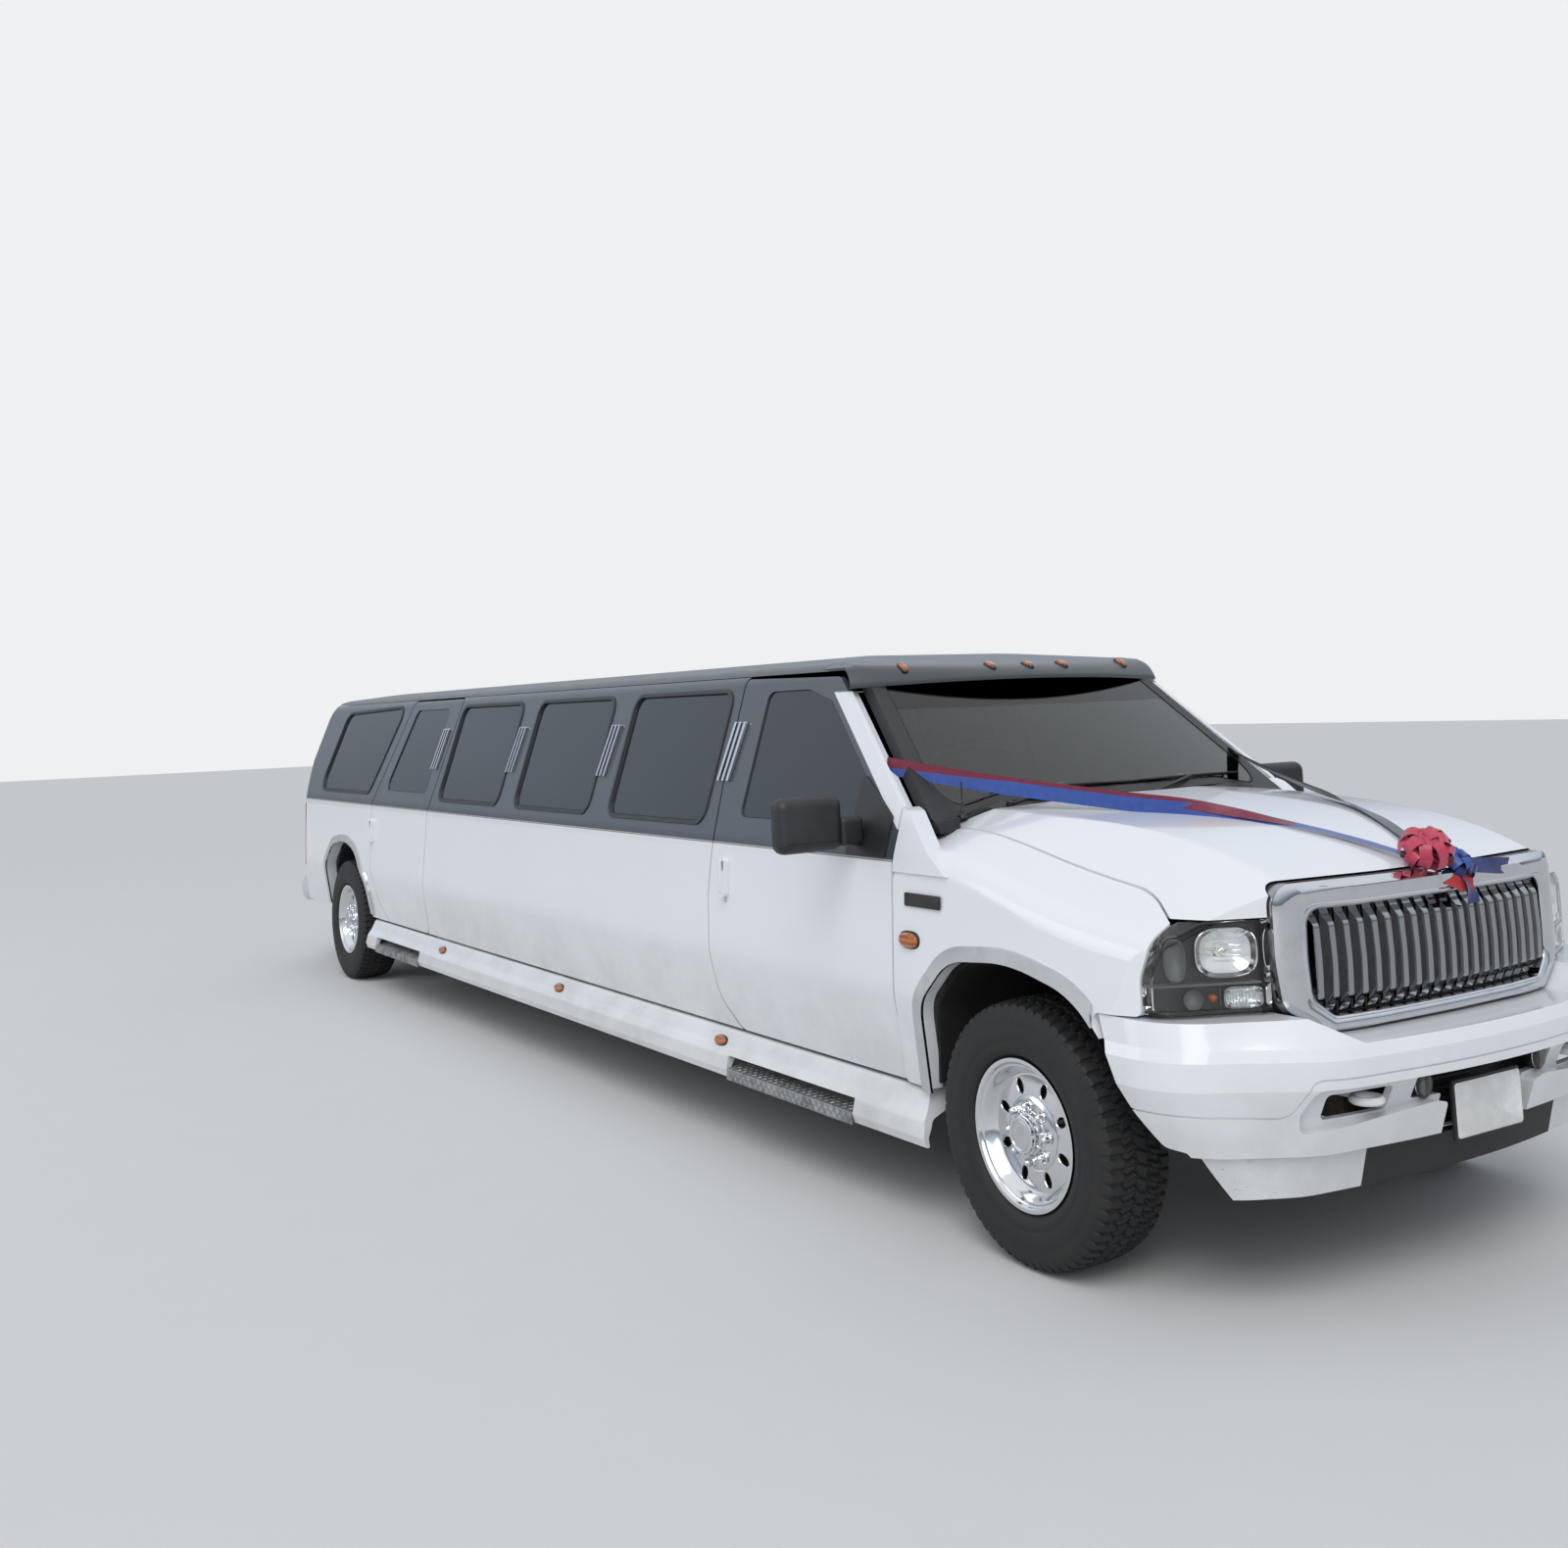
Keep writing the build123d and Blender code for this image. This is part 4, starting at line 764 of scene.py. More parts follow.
def tread_depth(u, pitch):
    """Share of the groove's depth at u metres from the tread's middle and a place within the pitch."""
    zig = groove_zig * math.sin(2 * math.pi * pitch)
    cuts = [cut_share(abs(u - line - (zig if line > 0 else -zig)), groove_half, groove_slope)
            for line in groove_lines]
    size = abs(u)
    if size < 0.022:
        cuts.append(0.8 * cut_share(abs(pitch - 0.5 - u * 9), 0.05, 0.06))
    elif size < 0.065:
        turn = (pitch + (0.25 if u > 0 else 0.75) + (size - 0.024) * 9) % 1
        cuts.append(cut_share(abs(turn - 0.5), 0.09, 0.06))
        cuts.append(0.45 * cut_share(min(turn, 1 - turn), 0.02, 0.05))
    else:
        turn = (pitch + (0.1 if u > 0 else 0.6) + (size - 0.067) * 2) % 1
        cuts.append(cut_share(abs(turn - 0.5), 0.14, 0.07))
    return min(1.0, max(0.0, *cuts))


def tyre_mesh(name, sign):
    """One tyre about its own middle; sign is the side of the car it is for."""
    tread = [(-tread_half + 2 * tread_half * k / tread_steps) for k in range(1, tread_steps)]
    crown = [(u, tyre_radius - crown_drop * (abs(u) / tread_half) ** 3) for u in tread]
    section = [(-w, r) for w, r in tyre_profile] + crown + tyre_profile[::-1]
    width, side_rows = len(section), len(tyre_profile)
    drops = []
    for step in range(steps_per_pitch):
        pitch = step / steps_per_pitch
        row = []
        for i, (w, r) in enumerate(section):
            from_edge = min(i, width - 1 - i)
            share = 0.0
            if from_edge >= side_rows:
                share = tread_depth(w, pitch)
            elif from_edge >= side_rows - lug_rows:
                turn = (pitch + (0.1 if w > 0 else 0.6) + 0.09) % 1
                fade = (from_edge - (side_rows - lug_rows - 1)) / (lug_rows + 1)
                share = max(0.0, cut_share(abs(turn - 0.5), 0.14, 0.07)) * fade
            row.append(share * groove_depth if r > lug_foot else 0.0)
        drops.append(row)
    count = tread_pitches * steps_per_pitch
    vertices, faces = [], []
    for k in range(count):
        turn = 2 * math.pi * k / count
        a, b = k * width, ((k + 1) % count) * width
        for (w, r), drop in zip(section, drops[k % steps_per_pitch]):
            vertices.append(round_y(turn, r - drop, sign * w))
        for i in range(width - 1):
            quad = (a + i, b + i, b + i + 1, a + i + 1)
            faces.append(quad if sign > 0 else quad[::-1])
    mesh = bpy.data.meshes.new(name)
    mesh.from_pydata(vertices, [], faces)
    smooth_row = [min(i, width - 2 - i) < side_rows - 3 for i in range(width - 1)]
    mesh.polygons.foreach_set("use_smooth", smooth_row * count)
    mesh.materials.append(materials["rubber"])
    return mesh


def put_on_wheels(mesh, name, side, sign, replaced):
    """Sets a mesh at both wheels of a side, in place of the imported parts."""
    for end, x in ends:
        made = link(f"{name}_{end}_{side}", mesh)
        made.location = (x, sign * abs(tyre_middle_y), axle_z)
        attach(made, f"wheel_{end}_{side}_body")
        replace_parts(made, f"{replaced}_{end}_{side}")


def make_tyres():
    for side, sign in sides:
        put_on_wheels(tyre_mesh(f"tread_{side}", sign), "tread", side, sign, "tyre")


# Wheels: polished rim, a disc with eight oval holes, a hub cover with eight nuts, and a tall stepped cap

rim_profile = [
    (-0.1140, 0.2220), (-0.1060, 0.2235), (-0.1000, 0.2080), (-0.0400, 0.2040), (-0.0240, 0.1840),
    (0.0400, 0.1820), (0.0620, 0.1830), (0.0820, 0.1900), (0.0900, 0.1985), (0.0955, 0.2035),
    (0.1010, 0.2055), (0.1040, 0.2085), (0.1050, 0.2140), (0.1090, 0.2175), (0.1130, 0.2190),
    (0.1150, 0.2245), (0.1168, 0.2265), (0.1175, 0.2235), (0.1165, 0.2150), (0.1135, 0.2115),
    (0.1085, 0.2095), (0.1055, 0.2060), (0.1045, 0.2010), (0.1000, 0.1975), (0.0900, 0.1925),
    (0.0780, 0.1850), (0.0690, 0.1790), (0.0640, 0.1730), (0.0560, 0.1720), (-0.0260, 0.1740),
    (-0.0460, 0.1940), (-0.1080, 0.1990),
]
disc_profile = [(0.0660, 0.1745), (0.0665, 0.1680), (0.0690, 0.1600), (0.0705, 0.1180), (0.0720, 0.1080),
                (0.0720, 0.0600), (0.0600, 0.0600), (0.0600, 0.1080), (0.0590, 0.1745)]
cover_profile = [(0.0700, 0.1120), (0.0735, 0.1110), (0.0760, 0.1080), (0.0775, 0.1020), (0.0800, 0.0980),
                 (0.0810, 0.0900), (0.0810, 0.0700), (0.0830, 0.0655), (0.0870, 0.0630), (0.0960, 0.0622),
                 (0.0975, 0.0600), (0.0985, 0.0585), (0.1120, 0.0578), (0.1135, 0.0560), (0.1140, 0.0545),
                 (0.1220, 0.0540), (0.1240, 0.0520), (0.1245, 0.0480), (0.1235, 0.0455), (0.1215, 0.0445)]
# The tall cap in the middle, the circle of oval holes and their half sizes, and the nuts' circle and foot
cap_profile = [(0.1215, 0.0445), (0.1210, 0.0430), (0.1222, 0.0400), (0.1228, 0.0300), (0.1232, 0.0010)]
hole_circle = 0.141
hole_half = (0.0235, 0.0145)
nut_circle, nut_foot = 0.0835, 0.0808
sleeve_profile = [(0.0, 0.0175), (0.006, 0.0172), (0.009, 0.0150), (0.0095, 0.0125)]
nut_profile = [(0.004, 0.0125), (0.022, 0.0125), (0.0255, 0.0105), (0.0300, 0.0065), (0.0315, 0.002)]
drum_profile = [(0.048, 0.165), (0.044, 0.165), (0.044, 0.02)]


def wheel_disc(sign):
    """The disc with its oval holes cut, as a mesh about the tyre's middle."""
    bm = bmesh.new()
    turned_on_y(bm, Vector(), disc_profile, sign, 96, closed=True)
    disc = mesh_object("disc_blank", bm)
    bm = bmesh.new()
    for index in range(8):
        turn = 2 * math.pi * (index + 0.5) / 8
        radial, along = round_y(turn, 1), round_y(turn + math.pi / 2, 1)
        rows = []
        for out, grow in ((0.04, 0.0), (0.0675, 0.0), (0.0705, 0.002), (0.0735, 0.005)):
            middle = radial * hole_circle + left_y * (sign * out)
            rows.append(oval(middle, radial, along, [h + grow for h in hole_half], 24))
        sweep(bm, rows)
    return cut_by(disc, mesh_object("disc_holes", bm))


def mesh_object(name, bm):
    bmesh.ops.recalc_face_normals(bm, faces=bm.faces)
    mesh = bpy.data.meshes.new(name)
    bm.to_mesh(mesh)
    bm.free()
    return link(name, mesh)


def cut_by(blank, cutter):
    """The mesh that is left of one object outside another; both objects go."""
    modifier = blank.modifiers.new("cut", "BOOLEAN")
    modifier.operation = "DIFFERENCE"
    modifier.solver = "EXACT"
    modifier.object = cutter
    bpy.context.view_layer.update()
    result = blank.evaluated_get(bpy.context.evaluated_depsgraph_get())
    mesh = bpy.data.meshes.new_from_object(result)
    for made in (blank, cutter):
        bpy.data.objects.remove(made, do_unlink=True)
    return mesh


def add_nut(bm, place, sign):
    """A sleeve with a six-sided domed nut on it."""
    turned_on_y(bm, place, sleeve_profile, sign, 20)
    rows = []
    for out, size in nut_profile:
        row = []
        for k in range(24):
            turn = 2 * math.pi * k / 24
            flat = math.cos(math.pi / 6) / math.cos((turn % (math.pi / 3)) - math.pi / 6)
            row.append(place + round_y(turn, size * (flat if out < 0.025 else 0.93), sign * out))
        rows.append(row)
    sweep(bm, rows)


def make_wheels():
    for side, sign in sides:
        bm = bmesh.new()
        disc = wheel_disc(sign)
        bm.from_mesh(disc)
        bpy.data.meshes.remove(disc)
        middle = Vector()
        turned_on_y(bm, middle, rim_profile, sign, 128, closed=True)
        turned_on_y(bm, middle, cover_profile, sign, 72)
        turned_on_y(bm, middle, cap_profile, sign, 72, look=1)
        for index in range(8):
            add_nut(bm, round_y(2 * math.pi * index / 8, nut_circle, sign * nut_foot), sign)
        stem = round_y(0.4, 0.193, sign * 0.086)
        bend, tip = Vector((-0.008, sign * 0.012, -0.004)), Vector((-0.016, sign * 0.02, -0.008))
        tube(bm, [stem, stem + bend, stem + tip], [0.0055, 0.005, 0.0042], 10, look=2)
        turned_on_y(bm, middle, drum_profile, sign, 48, look=3)
        wheel = add_piece(f"wheel_face_{side}", bm, ["wheel", "cap_face", "seal", "chassis"], None, 30)
        mesh = wheel.data
        bpy.data.objects.remove(wheel, do_unlink=True)
        put_on_wheels(mesh, "wheel_face", side, sign, "wheel")


# Lamps, the grille's back and rim, and bumper fittings

# A headlamp's inner end, foot and top
lamp_inner_y = 0.664
lamp_low, lamp_high = 0.828, 1.077


def nose_x(y):
    """How far forward the nose's face is at a distance from the middle."""
    stations = [(0.0, 0.812), (0.42, 0.798), (0.66, 0.737), (0.95, 0.600), (1.02, 0.400)]
    y = abs(y)
    for (y0, x0), (y1, x1) in zip(stations, stations[1:]):
        if y <= y1:
            return x0 + (x1 - x0) * (y - y0) / (y1 - y0)
    return stations[-1][1]


def bowl(bm, middle, ahead, up, size, depth, look=0, steps=40, rings=10, rim=0.004, power=2.0):
    """A hollow reflector, open at the front, with a rolled rim: an oval, or squarer with a higher power."""
    side = ahead.cross(up).normalized()
    up = side.cross(ahead).normalized()
    rows = []
    for ring in range(rings + 1):
        share = ring / rings
        half = [h * max(0.02, share) for h in size]
        rows.append(oval(middle - ahead * (depth * (1 - share * share)), side, up, half, steps, power))
    for out, forward in ((1.0, 1.0), (1.02, 1.25), (1.045, 1.0), (1.05, 0.2)):
        rows.append([middle + (p - middle) * out + ahead * (rim * forward) for p in rows[rings]])
    sweep(bm, rows, caps=False, look=look)


def shell_at(y, z, inset):
    """A place inside the nose, an inset behind its face."""
    return spot(nose_x(y) - inset, y, z)


def housing_top(y):
    """The top of the lamp's housing, which stays under the wing."""
    return lamp_high - 0.008 - max(0.0, abs(y) - 0.80) * 0.55


# The lamp's bowls: place on the nose (y, z), inset, whether it faces more to the side, half size, depth,
# look, squareness and steps
lamp_bowls = [
    (0.756, 0.990, 0.038, False, (0.088, 0.066), 0.034, 1, 3.0, 64),
    (0.892, 0.975, 0.036, True, (0.028, 0.056), 0.026, 2, 2.6, 40),
    (0.720, 0.866, 0.034, False, (0.056, 0.029), 0.024, 1, 4.0, 48),
    (0.852, 0.866, 0.034, True, (0.027, 0.027), 0.020, 2, 2.0, 40),
]
# The shelf's height, the housing's outer end, how far its back lies behind the face and how deep it is
lamp_shelf_z = 0.905
lamp_outer_y = 0.955
lamp_back, lamp_reach = 0.078, 0.043


bulb_radii = [0.013, 0.013, 0.010, 0.003]


def make_headlamps():
    """What shows through each clear lens: the housing, a broad reflector and a dark side chamber above a
    shelf, and an amber bulb and a fluted reflector below it."""
    for side, sign in sides:
        ahead, outward = toward(0.90, sign * 0.42, 0), toward(0.72, sign * 0.69, 0)
        bm = bmesh.new()
        stations = [sign * (lamp_inner_y + 0.006 + (lamp_outer_y - lamp_inner_y) * k / 24) for k in range(25)]
        foot = [shell_at(y, lamp_low + 0.006, lamp_back) for y in stations]
        top = [shell_at(y, housing_top(y), lamp_back) for y in stations]
        reach = Vector((lamp_reach, 0, 0))
        sweep(bm, [[p + reach for p in foot], foot, top, [p + reach for p in top]], closed_row=False)
        for index in (0, -1):
            corners = [foot[index], top[index], top[index] + reach, foot[index] + reach]
            bm.faces.new([bm.verts.new(p) for p in corners])
        shelf = []
        for out, z in ((0.0, -0.004), (0.046, -0.003), (0.046, 0.003), (0.0, 0.004)):
            shelf.append([Vector((p.x + out, p.y, lamp_shelf_z + z)) for p in foot])
        sweep(bm, shelf, closed_row=False, look=2)
        for y, z, inset, aside, size, depth, look, power, steps in lamp_bowls:
            facing = outward if aside else ahead
            bowl(bm, shell_at(sign * y, z, inset), facing, up_z, size, depth, look, steps, power=power)
        across = ahead.cross(up_z)
        main_y, main_z = lamp_bowls[0][:2]
        for k in range(9):
            z = 0.936 + 0.0135 * k
            half = 0.074 * math.sqrt(max(0.0, 1 - ((z - main_z) / 0.068) ** 4))
            middle = shell_at(sign * main_y, z, 0.064)
            run = [middle - across * half, middle - ahead * 0.004, middle + across * half]
            tube(bm, run, 0.0022, 6, look=1)
        add_piece(f"lamp_bowls_{side}", bm, ["lamp_black", "reflector", "lamp_grey"], "car", 30)
        run = [shell_at(sign * main_y, main_z, 0.066) + ahead * out for out in (0, 0.016, 0.026, 0.031)]
        add_tube(f"lamp_bulbs_{side}", run, bulb_radii, 16, "bulb", sharp=50)
        run = [shell_at(sign * 0.792, 0.866, 0.052) + ahead * out for out in (0, 0.012, 0.020, 0.024)]
        add_tube(f"lamp_amber_{side}", run, bulb_radii, 16, "amber", sharp=50)
        bm = bmesh.new()
        for k in range(13):
            y = sign * (0.676 + 0.0085 * k)
            run = [shell_at(y, z, 0.0375) for z in (lamp_low + 0.016, lamp_shelf_z - 0.012)]
            tube(bm, run, 0.0026, 6)
        add_piece(f"lamp_flutes_{side}", bm, "lamp_lens", "car", 50)


# Behind the bars: half the mesh's width, its foot and top, and its bars' foot and pitch
mesh_half_y = 0.545
mesh_z = (0.806, 1.094)
mesh_bar_z, mesh_bar_pitch = 0.815, 0.0165


def make_grille_back():
    """Black mesh behind the bars, which hides the radiator."""
    bm = bmesh.new()
    rows = [[spot(0.7035, k / 20 * mesh_half_y, z) for z in mesh_z] for k in range(-20, 21)]
    sweep(bm, rows, closed_row=False)
    add_piece("grille_back", bm, "lamp_black", "car")
    bm = bmesh.new()
    for row in range(17):
        z = mesh_bar_z + row * mesh_bar_pitch
        tube(bm, [spot(0.7065, y, z) for y in (-mesh_half_y, mesh_half_y)], 0.0016, 6)
    add_piece("grille_mesh", bm, "lamp_black", "car")


# The grille's rim from the front: its outer edge and its hole, as (y, z, radius) corners of one half
rim_outer_half = [(0.515, 0.757, 0.040), (0.640, 0.830, 0.060), (0.657, 0.960, 0.600), (0.655, 1.172, 0.062)]
rim_hole_half = [(0.480, 0.798, 0.040), (0.545, 0.850, 0.050), (0.552, 0.960, 0.600), (0.548, 1.098, 0.046)]
# How high the rim's face stands, and its form from the outer edge (0) to the hole (1): (share, rise)
rim_crown = 0.013
rim_section = [
    (0.0, -0.004), (0.015, 0.1), (0.05, 0.38), (0.12, 0.68), (0.25, 0.92), (0.42, 1.0), (0.60, 0.92),
    (0.74, 0.70), (0.80, 0.50), (0.83, 0.62), (0.90, 0.55), (0.97, 0.25), (1.0, -0.15),
]


def make_grille_bezel():
    """The rim's rounded face, with a fine step round the hole."""
    skin = surface_of("grille")
    outer = rounded_outline(both_halves(rim_outer_half))
    hole = rounded_outline(both_halves(rim_hole_half))
    rows = []
    for a, b in zip(outer, hole):
        row = []
        for share, rise in rim_section:
            place = a.lerp(b, share)
            inside = a.lerp(b, min(0.94, max(0.06, share)))
            hit = skin.ray_cast(spot(1.2, inside.x, inside.y), -forward_x)[0]
            x = hit.x if hit and hit.x > front_axle_x + 0.70 else front_axle_x + nose_x(place.x) + 0.010
            row.append(Vector((x + rise * rim_crown, place.x, place.y)))
        rows.append(row)
    bm = bmesh.new()
    sweep(bm, rows, closed_row=False, closed_run=True)
    add_piece("grille_bezel", bm, "chrome", "car", 42)


# Round lamps, and the front plate: their places from the front axle
fog_place = (0.905, 0.270, 0.598)
fog_lens_radius = 0.036
plate_size = (0.305, 0.152)
plate_z = 0.508


def intake_x(y, face):
    """The black intake's face, which bows back from the middle."""
    return face - 0.10 * (y / 0.9) ** 2


def make_bumper_fittings():
    """Round lamps, the blank plate on its bracket, and the black mesh of the intake."""
    for side, sign in sides:
        bm = bmesh.new()
        middle = spot(fog_place[0], sign * fog_place[1], fog_place[2])
        ahead = toward(1, sign * 0.06, 0)
        bowl(bm, middle, ahead, up_z, (0.034, 0.034), 0.038, steps=32)
        run = [middle + ahead * out for out in (-0.045, -0.036, -0.001, 0.004)]
        tube(bm, run, [0.020, 0.030, 0.0375, 0.0375], 32, look=1)
        place = middle - ahead * 0.02
        tube(bm, [place, place + ahead * 0.012], 0.006, 12, look=2)
        add_piece(f"fog_lamp_{side}", bm, ["reflector", "black_plastic", "bulb"], "car", 40)
        bm = bmesh.new()
        rows = []
        for share in (1.0, 0.97, 0.88, 0.6, 0.3, 0.02):
            out = 0.004 + 0.010 * math.sqrt(max(0.0, 1 - share * share))
            rows.append(oval(middle + ahead * out, left_y, up_z, [fog_lens_radius * share] * 2, 32))
        sweep(bm, rows)
        add_piece(f"fog_lens_{side}", bm, "lamp_lens", "car", 40)

    low, high = spot(0.905, -0.158, 0.425), spot(0.920, 0.158, 0.592)
    add_box("plate_bracket", low, high, 0.005, 2, "black_plastic")
    bm = bmesh.new()
    outline = rounded_rectangle(*plate_size, 0.010)
    plate(bm, outline, spot(0.921, 0, plate_z), left_y, up_z, 0.0016, 0.0005)
    add_piece("blank_plate", bm, "plate_white", "car")
    bm = bmesh.new()
    for y in (-0.120, 0.120):
        run = [spot(0.9225 + out, y, 0.560) for out in (0, 0.002, 0.0032)]
        tube(bm, run, [0.0065, 0.0062, 0.002], 16)
    add_piece("plate_screws", bm, "plate_white", "car")

    bm = bmesh.new()
    rows = []
    for y in [k / 16 * 0.40 for k in range(-16, 17)]:
        rows.append([spot(intake_x(y, 0.842), y, z) for z in (0.452, 0.50, 0.58, 0.66)])
    sweep(bm, rows, closed_row=False)
    for k in range(7):
        z = 0.472 + 0.028 * k
        tube(bm, [spot(intake_x(y, 0.848), y, z) for y in (-0.32, -0.16, 0.0, 0.16, 0.32)], 0.004, 6)
    add_piece("intake_mesh", bm, "lamp_black", "car")


# Ribbons and the bow: cloth strips, each a single sheet

# The right one's middle line from the pillar to the bow
ribbon_route = [
    (-0.800, -0.862, 1.492), (-0.450, -0.677, 1.426), (-0.050, -0.465, 1.367), (0.200, -0.333, 1.337),
    (0.450, -0.200, 1.298), (0.620, -0.110, 1.252), (0.760, -0.045, 1.205),
]
ribbon_looks = {"right": ("ribbon_blue", "ribbon_wine"), "left": ("ribbon_grey", "ribbon_navy")}
# Each kind's width, how far it stands above and behind the route, its sag where it lies down, and the
# start of its ripple
ribbon_kinds = (("wide", 0.048, 0.0, 0.0, 0.0, 1.0), ("narrow", 0.034, 0.021, 0.003, 0.0016, 2.2))


def strip(bm, run, widths, width, steps_across=4, look=0):
    """A strip of cloth along a run of places, its width lying along a direction at each."""
    rows = []
    for place, direction in zip(run, widths):
        d = direction.normalized()
        rows.append([place + d * (width * (k / steps_across - 0.5)) for k in range(steps_across + 1)])
    return sweep(bm, rows, closed_row=False, look=look)


def run_length(run):
    return sum((b - a).length for a, b in zip(run, run[1:]))


def make_ribbons():
    """A wide ribbon with a narrow one showing above it on each side, drawn tight from the pillar to the bow.
    They stand upright by the pillar and lie down on the hood. The left pair is twisted from the start."""
    for side, sign in sides:
        for look, (name, width, rise, behind, sag, ripple_start) in zip(ribbon_looks[side], ribbon_kinds):
            run = curve_through([spot(x, -sign * y, z) for x, y, z in ribbon_route], 14)
            widths = []
            for k in range(len(run)):
                share = k / (len(run) - 1)
                ripple = 0.08 * math.sin(9 * share + ripple_start)
                lie = min(1.0, max(0.0, (share - 0.42) / 0.30))
                lie = lie * lie * (3 - 2 * lie)
                if side == "left":
                    lie = 0.62 + 0.38 * lie
                upright = toward(0.0, -sign * (0.10 + ripple), 1.0)
                widths.append(upright.lerp(toward(-0.44, -sign * 0.88, -0.03), lie * 0.86))
                run[k] = run[k] + Vector((0, -sign * behind * (1 - lie), rise * (1 - lie) - sag * lie))
            bm = bmesh.new()
            strip(bm, run, widths, width)
            ribbon = add_piece(f"ribbon_{name}_{side}", bm, look, None, 80)
            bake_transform(ribbon)
            if name == "wide" and side == "right":
                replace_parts(ribbon, "ribbon_rear")


def bow_loop(bm, middle, out, across, reach, width, look):
    """One loop of ribbon, out and back, open like a petal; across is the way its width lies."""
    lift = out.cross(across).normalized()
    across = lift.cross(out).normalized()
    run = []
    for k in range(17):
        turn = math.pi * k / 16
        away = reach * (0.10 + 0.90 * math.sin(turn) ** 0.8)
        run.append(middle + out * away + lift * (reach * 0.36 * math.sin(2 * turn)))
    strip(bm, run, [across] * len(run), width, 3, look)
    return run_length(run)


# The two rosettes: name, looks, width of ribbon, offset from the bow's middle, axis, what it rests on, and
# its rings of loops, each with how many, their tilt from the axis in degrees, reach and look
bow_middle = (0.788, -0.015, 1.222)
rosettes = [
    # The pink rosette's ring of dark red loops is painted shade of the pink.
    ("bow_loops", ["ribbon_pink", "ribbon_wine"], 0.036, (0, 0, 0), (0.50, -0.42, 0.76), ["hood", "grille"],
     [(9, 84, 0.084, 0), (7, 52, 0.080, 0), (5, 70, 0.060, 1), (4, 20, 0.066, 0)]),
    ("bow_blue_loops", ["ribbon_navy", "ribbon_blue"], 0.030, (0.026, 0.105, -0.050),
     (0.62, -0.30, 0.62), ["hood", "bow_loops"], [(5, 78, 0.058, 0), (4, 40, 0.056, 1)]),
]
# The tails: name, look, width and middle line; the last one hangs down over the grille
tails = [
    ("red_tail", "ribbon_red", 0.046,
     [(0.802, -0.020, 1.176), (0.828, 0.010, 1.142), (0.842, 0.060, 1.124), (0.842, 0.132, 1.120)]),
    ("wine_tail", "ribbon_wine", 0.040,
     [(0.800, -0.030, 1.180), (0.818, -0.062, 1.158), (0.826, -0.105, 1.143)]),
    ("blue_tail", "ribbon_navy", 0.050,
     [(0.806, 0.100, 1.178), (0.826, 0.170, 1.166), (0.828, 0.250, 1.158), (0.820, 0.345, 1.150)]),
    ("navy_tail", "ribbon_navy", 0.056,
     [(0.812, 0.090, 1.160), (0.840, 0.100, 1.128), (0.848, 0.108, 1.088), (0.848, 0.112, 1.058)]),
]


def add_rosette(bm, middle, axis, rings, width, squash=0.80):
    """Rings of loops about an axis; returns the length of ribbon in them."""
    axis = axis.normalized()
    first = axis.cross(Vector((0, 0, 1))).normalized()
    second = axis.cross(first)
    length = 0.0
    for ring, (count, tilt, reach, look) in enumerate(rings):
        for k in range(count):
            turn = 2 * math.pi * (k + 0.43 * ring) / count + random.uniform(-0.12, 0.12)
            lean = math.radians(tilt + random.uniform(-7, 7))
            ray = first * math.cos(turn) + second * math.sin(turn)
            around = second * math.cos(turn) - first * math.sin(turn)
            out = (axis * math.cos(lean) + ray * math.sin(lean)).normalized()
            across = around + out.cross(around) * random.uniform(-0.3, 0.3)
            size = reach * random.uniform(0.92, 1.08)
            size *= squash + (1 - squash) * abs(ray.x * 0.7 + ray.y * 0.7)
            length += bow_loop(bm, middle, out, across, size, width, look)
    return length


def make_bow():
    """A rosette of pink loops, with a ring of dark red loops inside as painted shade of the pink, navy ones
    beside it, and four tails by the grille's top.
    """
    for name, looks, width, offset, axis, rests_on, rings in rosettes:
        bm = bmesh.new()
        length = add_rosette(bm, spot(*bow_middle) + Vector(offset), Vector(axis), rings, width)
        loops = add_piece(name, bm, looks, "hood_body", 80)
        if name == "bow_loops":
            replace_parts(loops, "bow")
    for name, look, width, route in tails:
        run = curve_through([spot(*p) for p in route], 8)
        widths = []
        for k in range(len(run)):
            share = k / (len(run) - 1)
            curl = 0.25 * math.sin(5 * share)
            hangs = name == "navy_tail"
            widths.append(Vector((-0.2 - curl, 1.0, 0.1)) if hangs else Vector((-0.30 - curl, 0.15, 1.0)))
        bm = bmesh.new()
        strip(bm, run, widths, width, 6)
        bm.verts.ensure_lookup_table()
        pull = (run[-1] - run[-2]).normalized()
        # The notch cut into the free end
        for offset, depth in ((4, 0.022), (3, 0.012), (5, 0.012)):
            bm.verts[len(bm.verts) - offset].co -= pull * depth
        tail = add_piece(name, bm, look, "hood_body", 80)


# Visor, marker lamps and flowers

# Half the visor's width, and its thickness
visor_half = 0.800
visor_thick = 0.010
# The steps along the visor's flat top, and over its edge
visor_flat_steps, visor_edge_steps = 7, 10


def visor_lip(y):
    """The visor's front edge, which draws back and falls a little towards the pillars."""
    fall = (y / visor_half) ** 2
    return spot(-0.950 - 0.150 * fall, y, 1.812 - 0.020 * fall)


def roof_top(x, y):
    """The height of the roof's front part, from the front axle."""
    along = 1.872 - (x + 1.150) * (0.1173 if x < -1.150 else 0.0703)
    shoulder = 1.926 - max(0.0, abs(y) - 0.400) * 0.1217
    side_on = 1.884 - max(0.0, abs(y) - 0.745) * 1.14
    return min(along, shoulder, side_on)


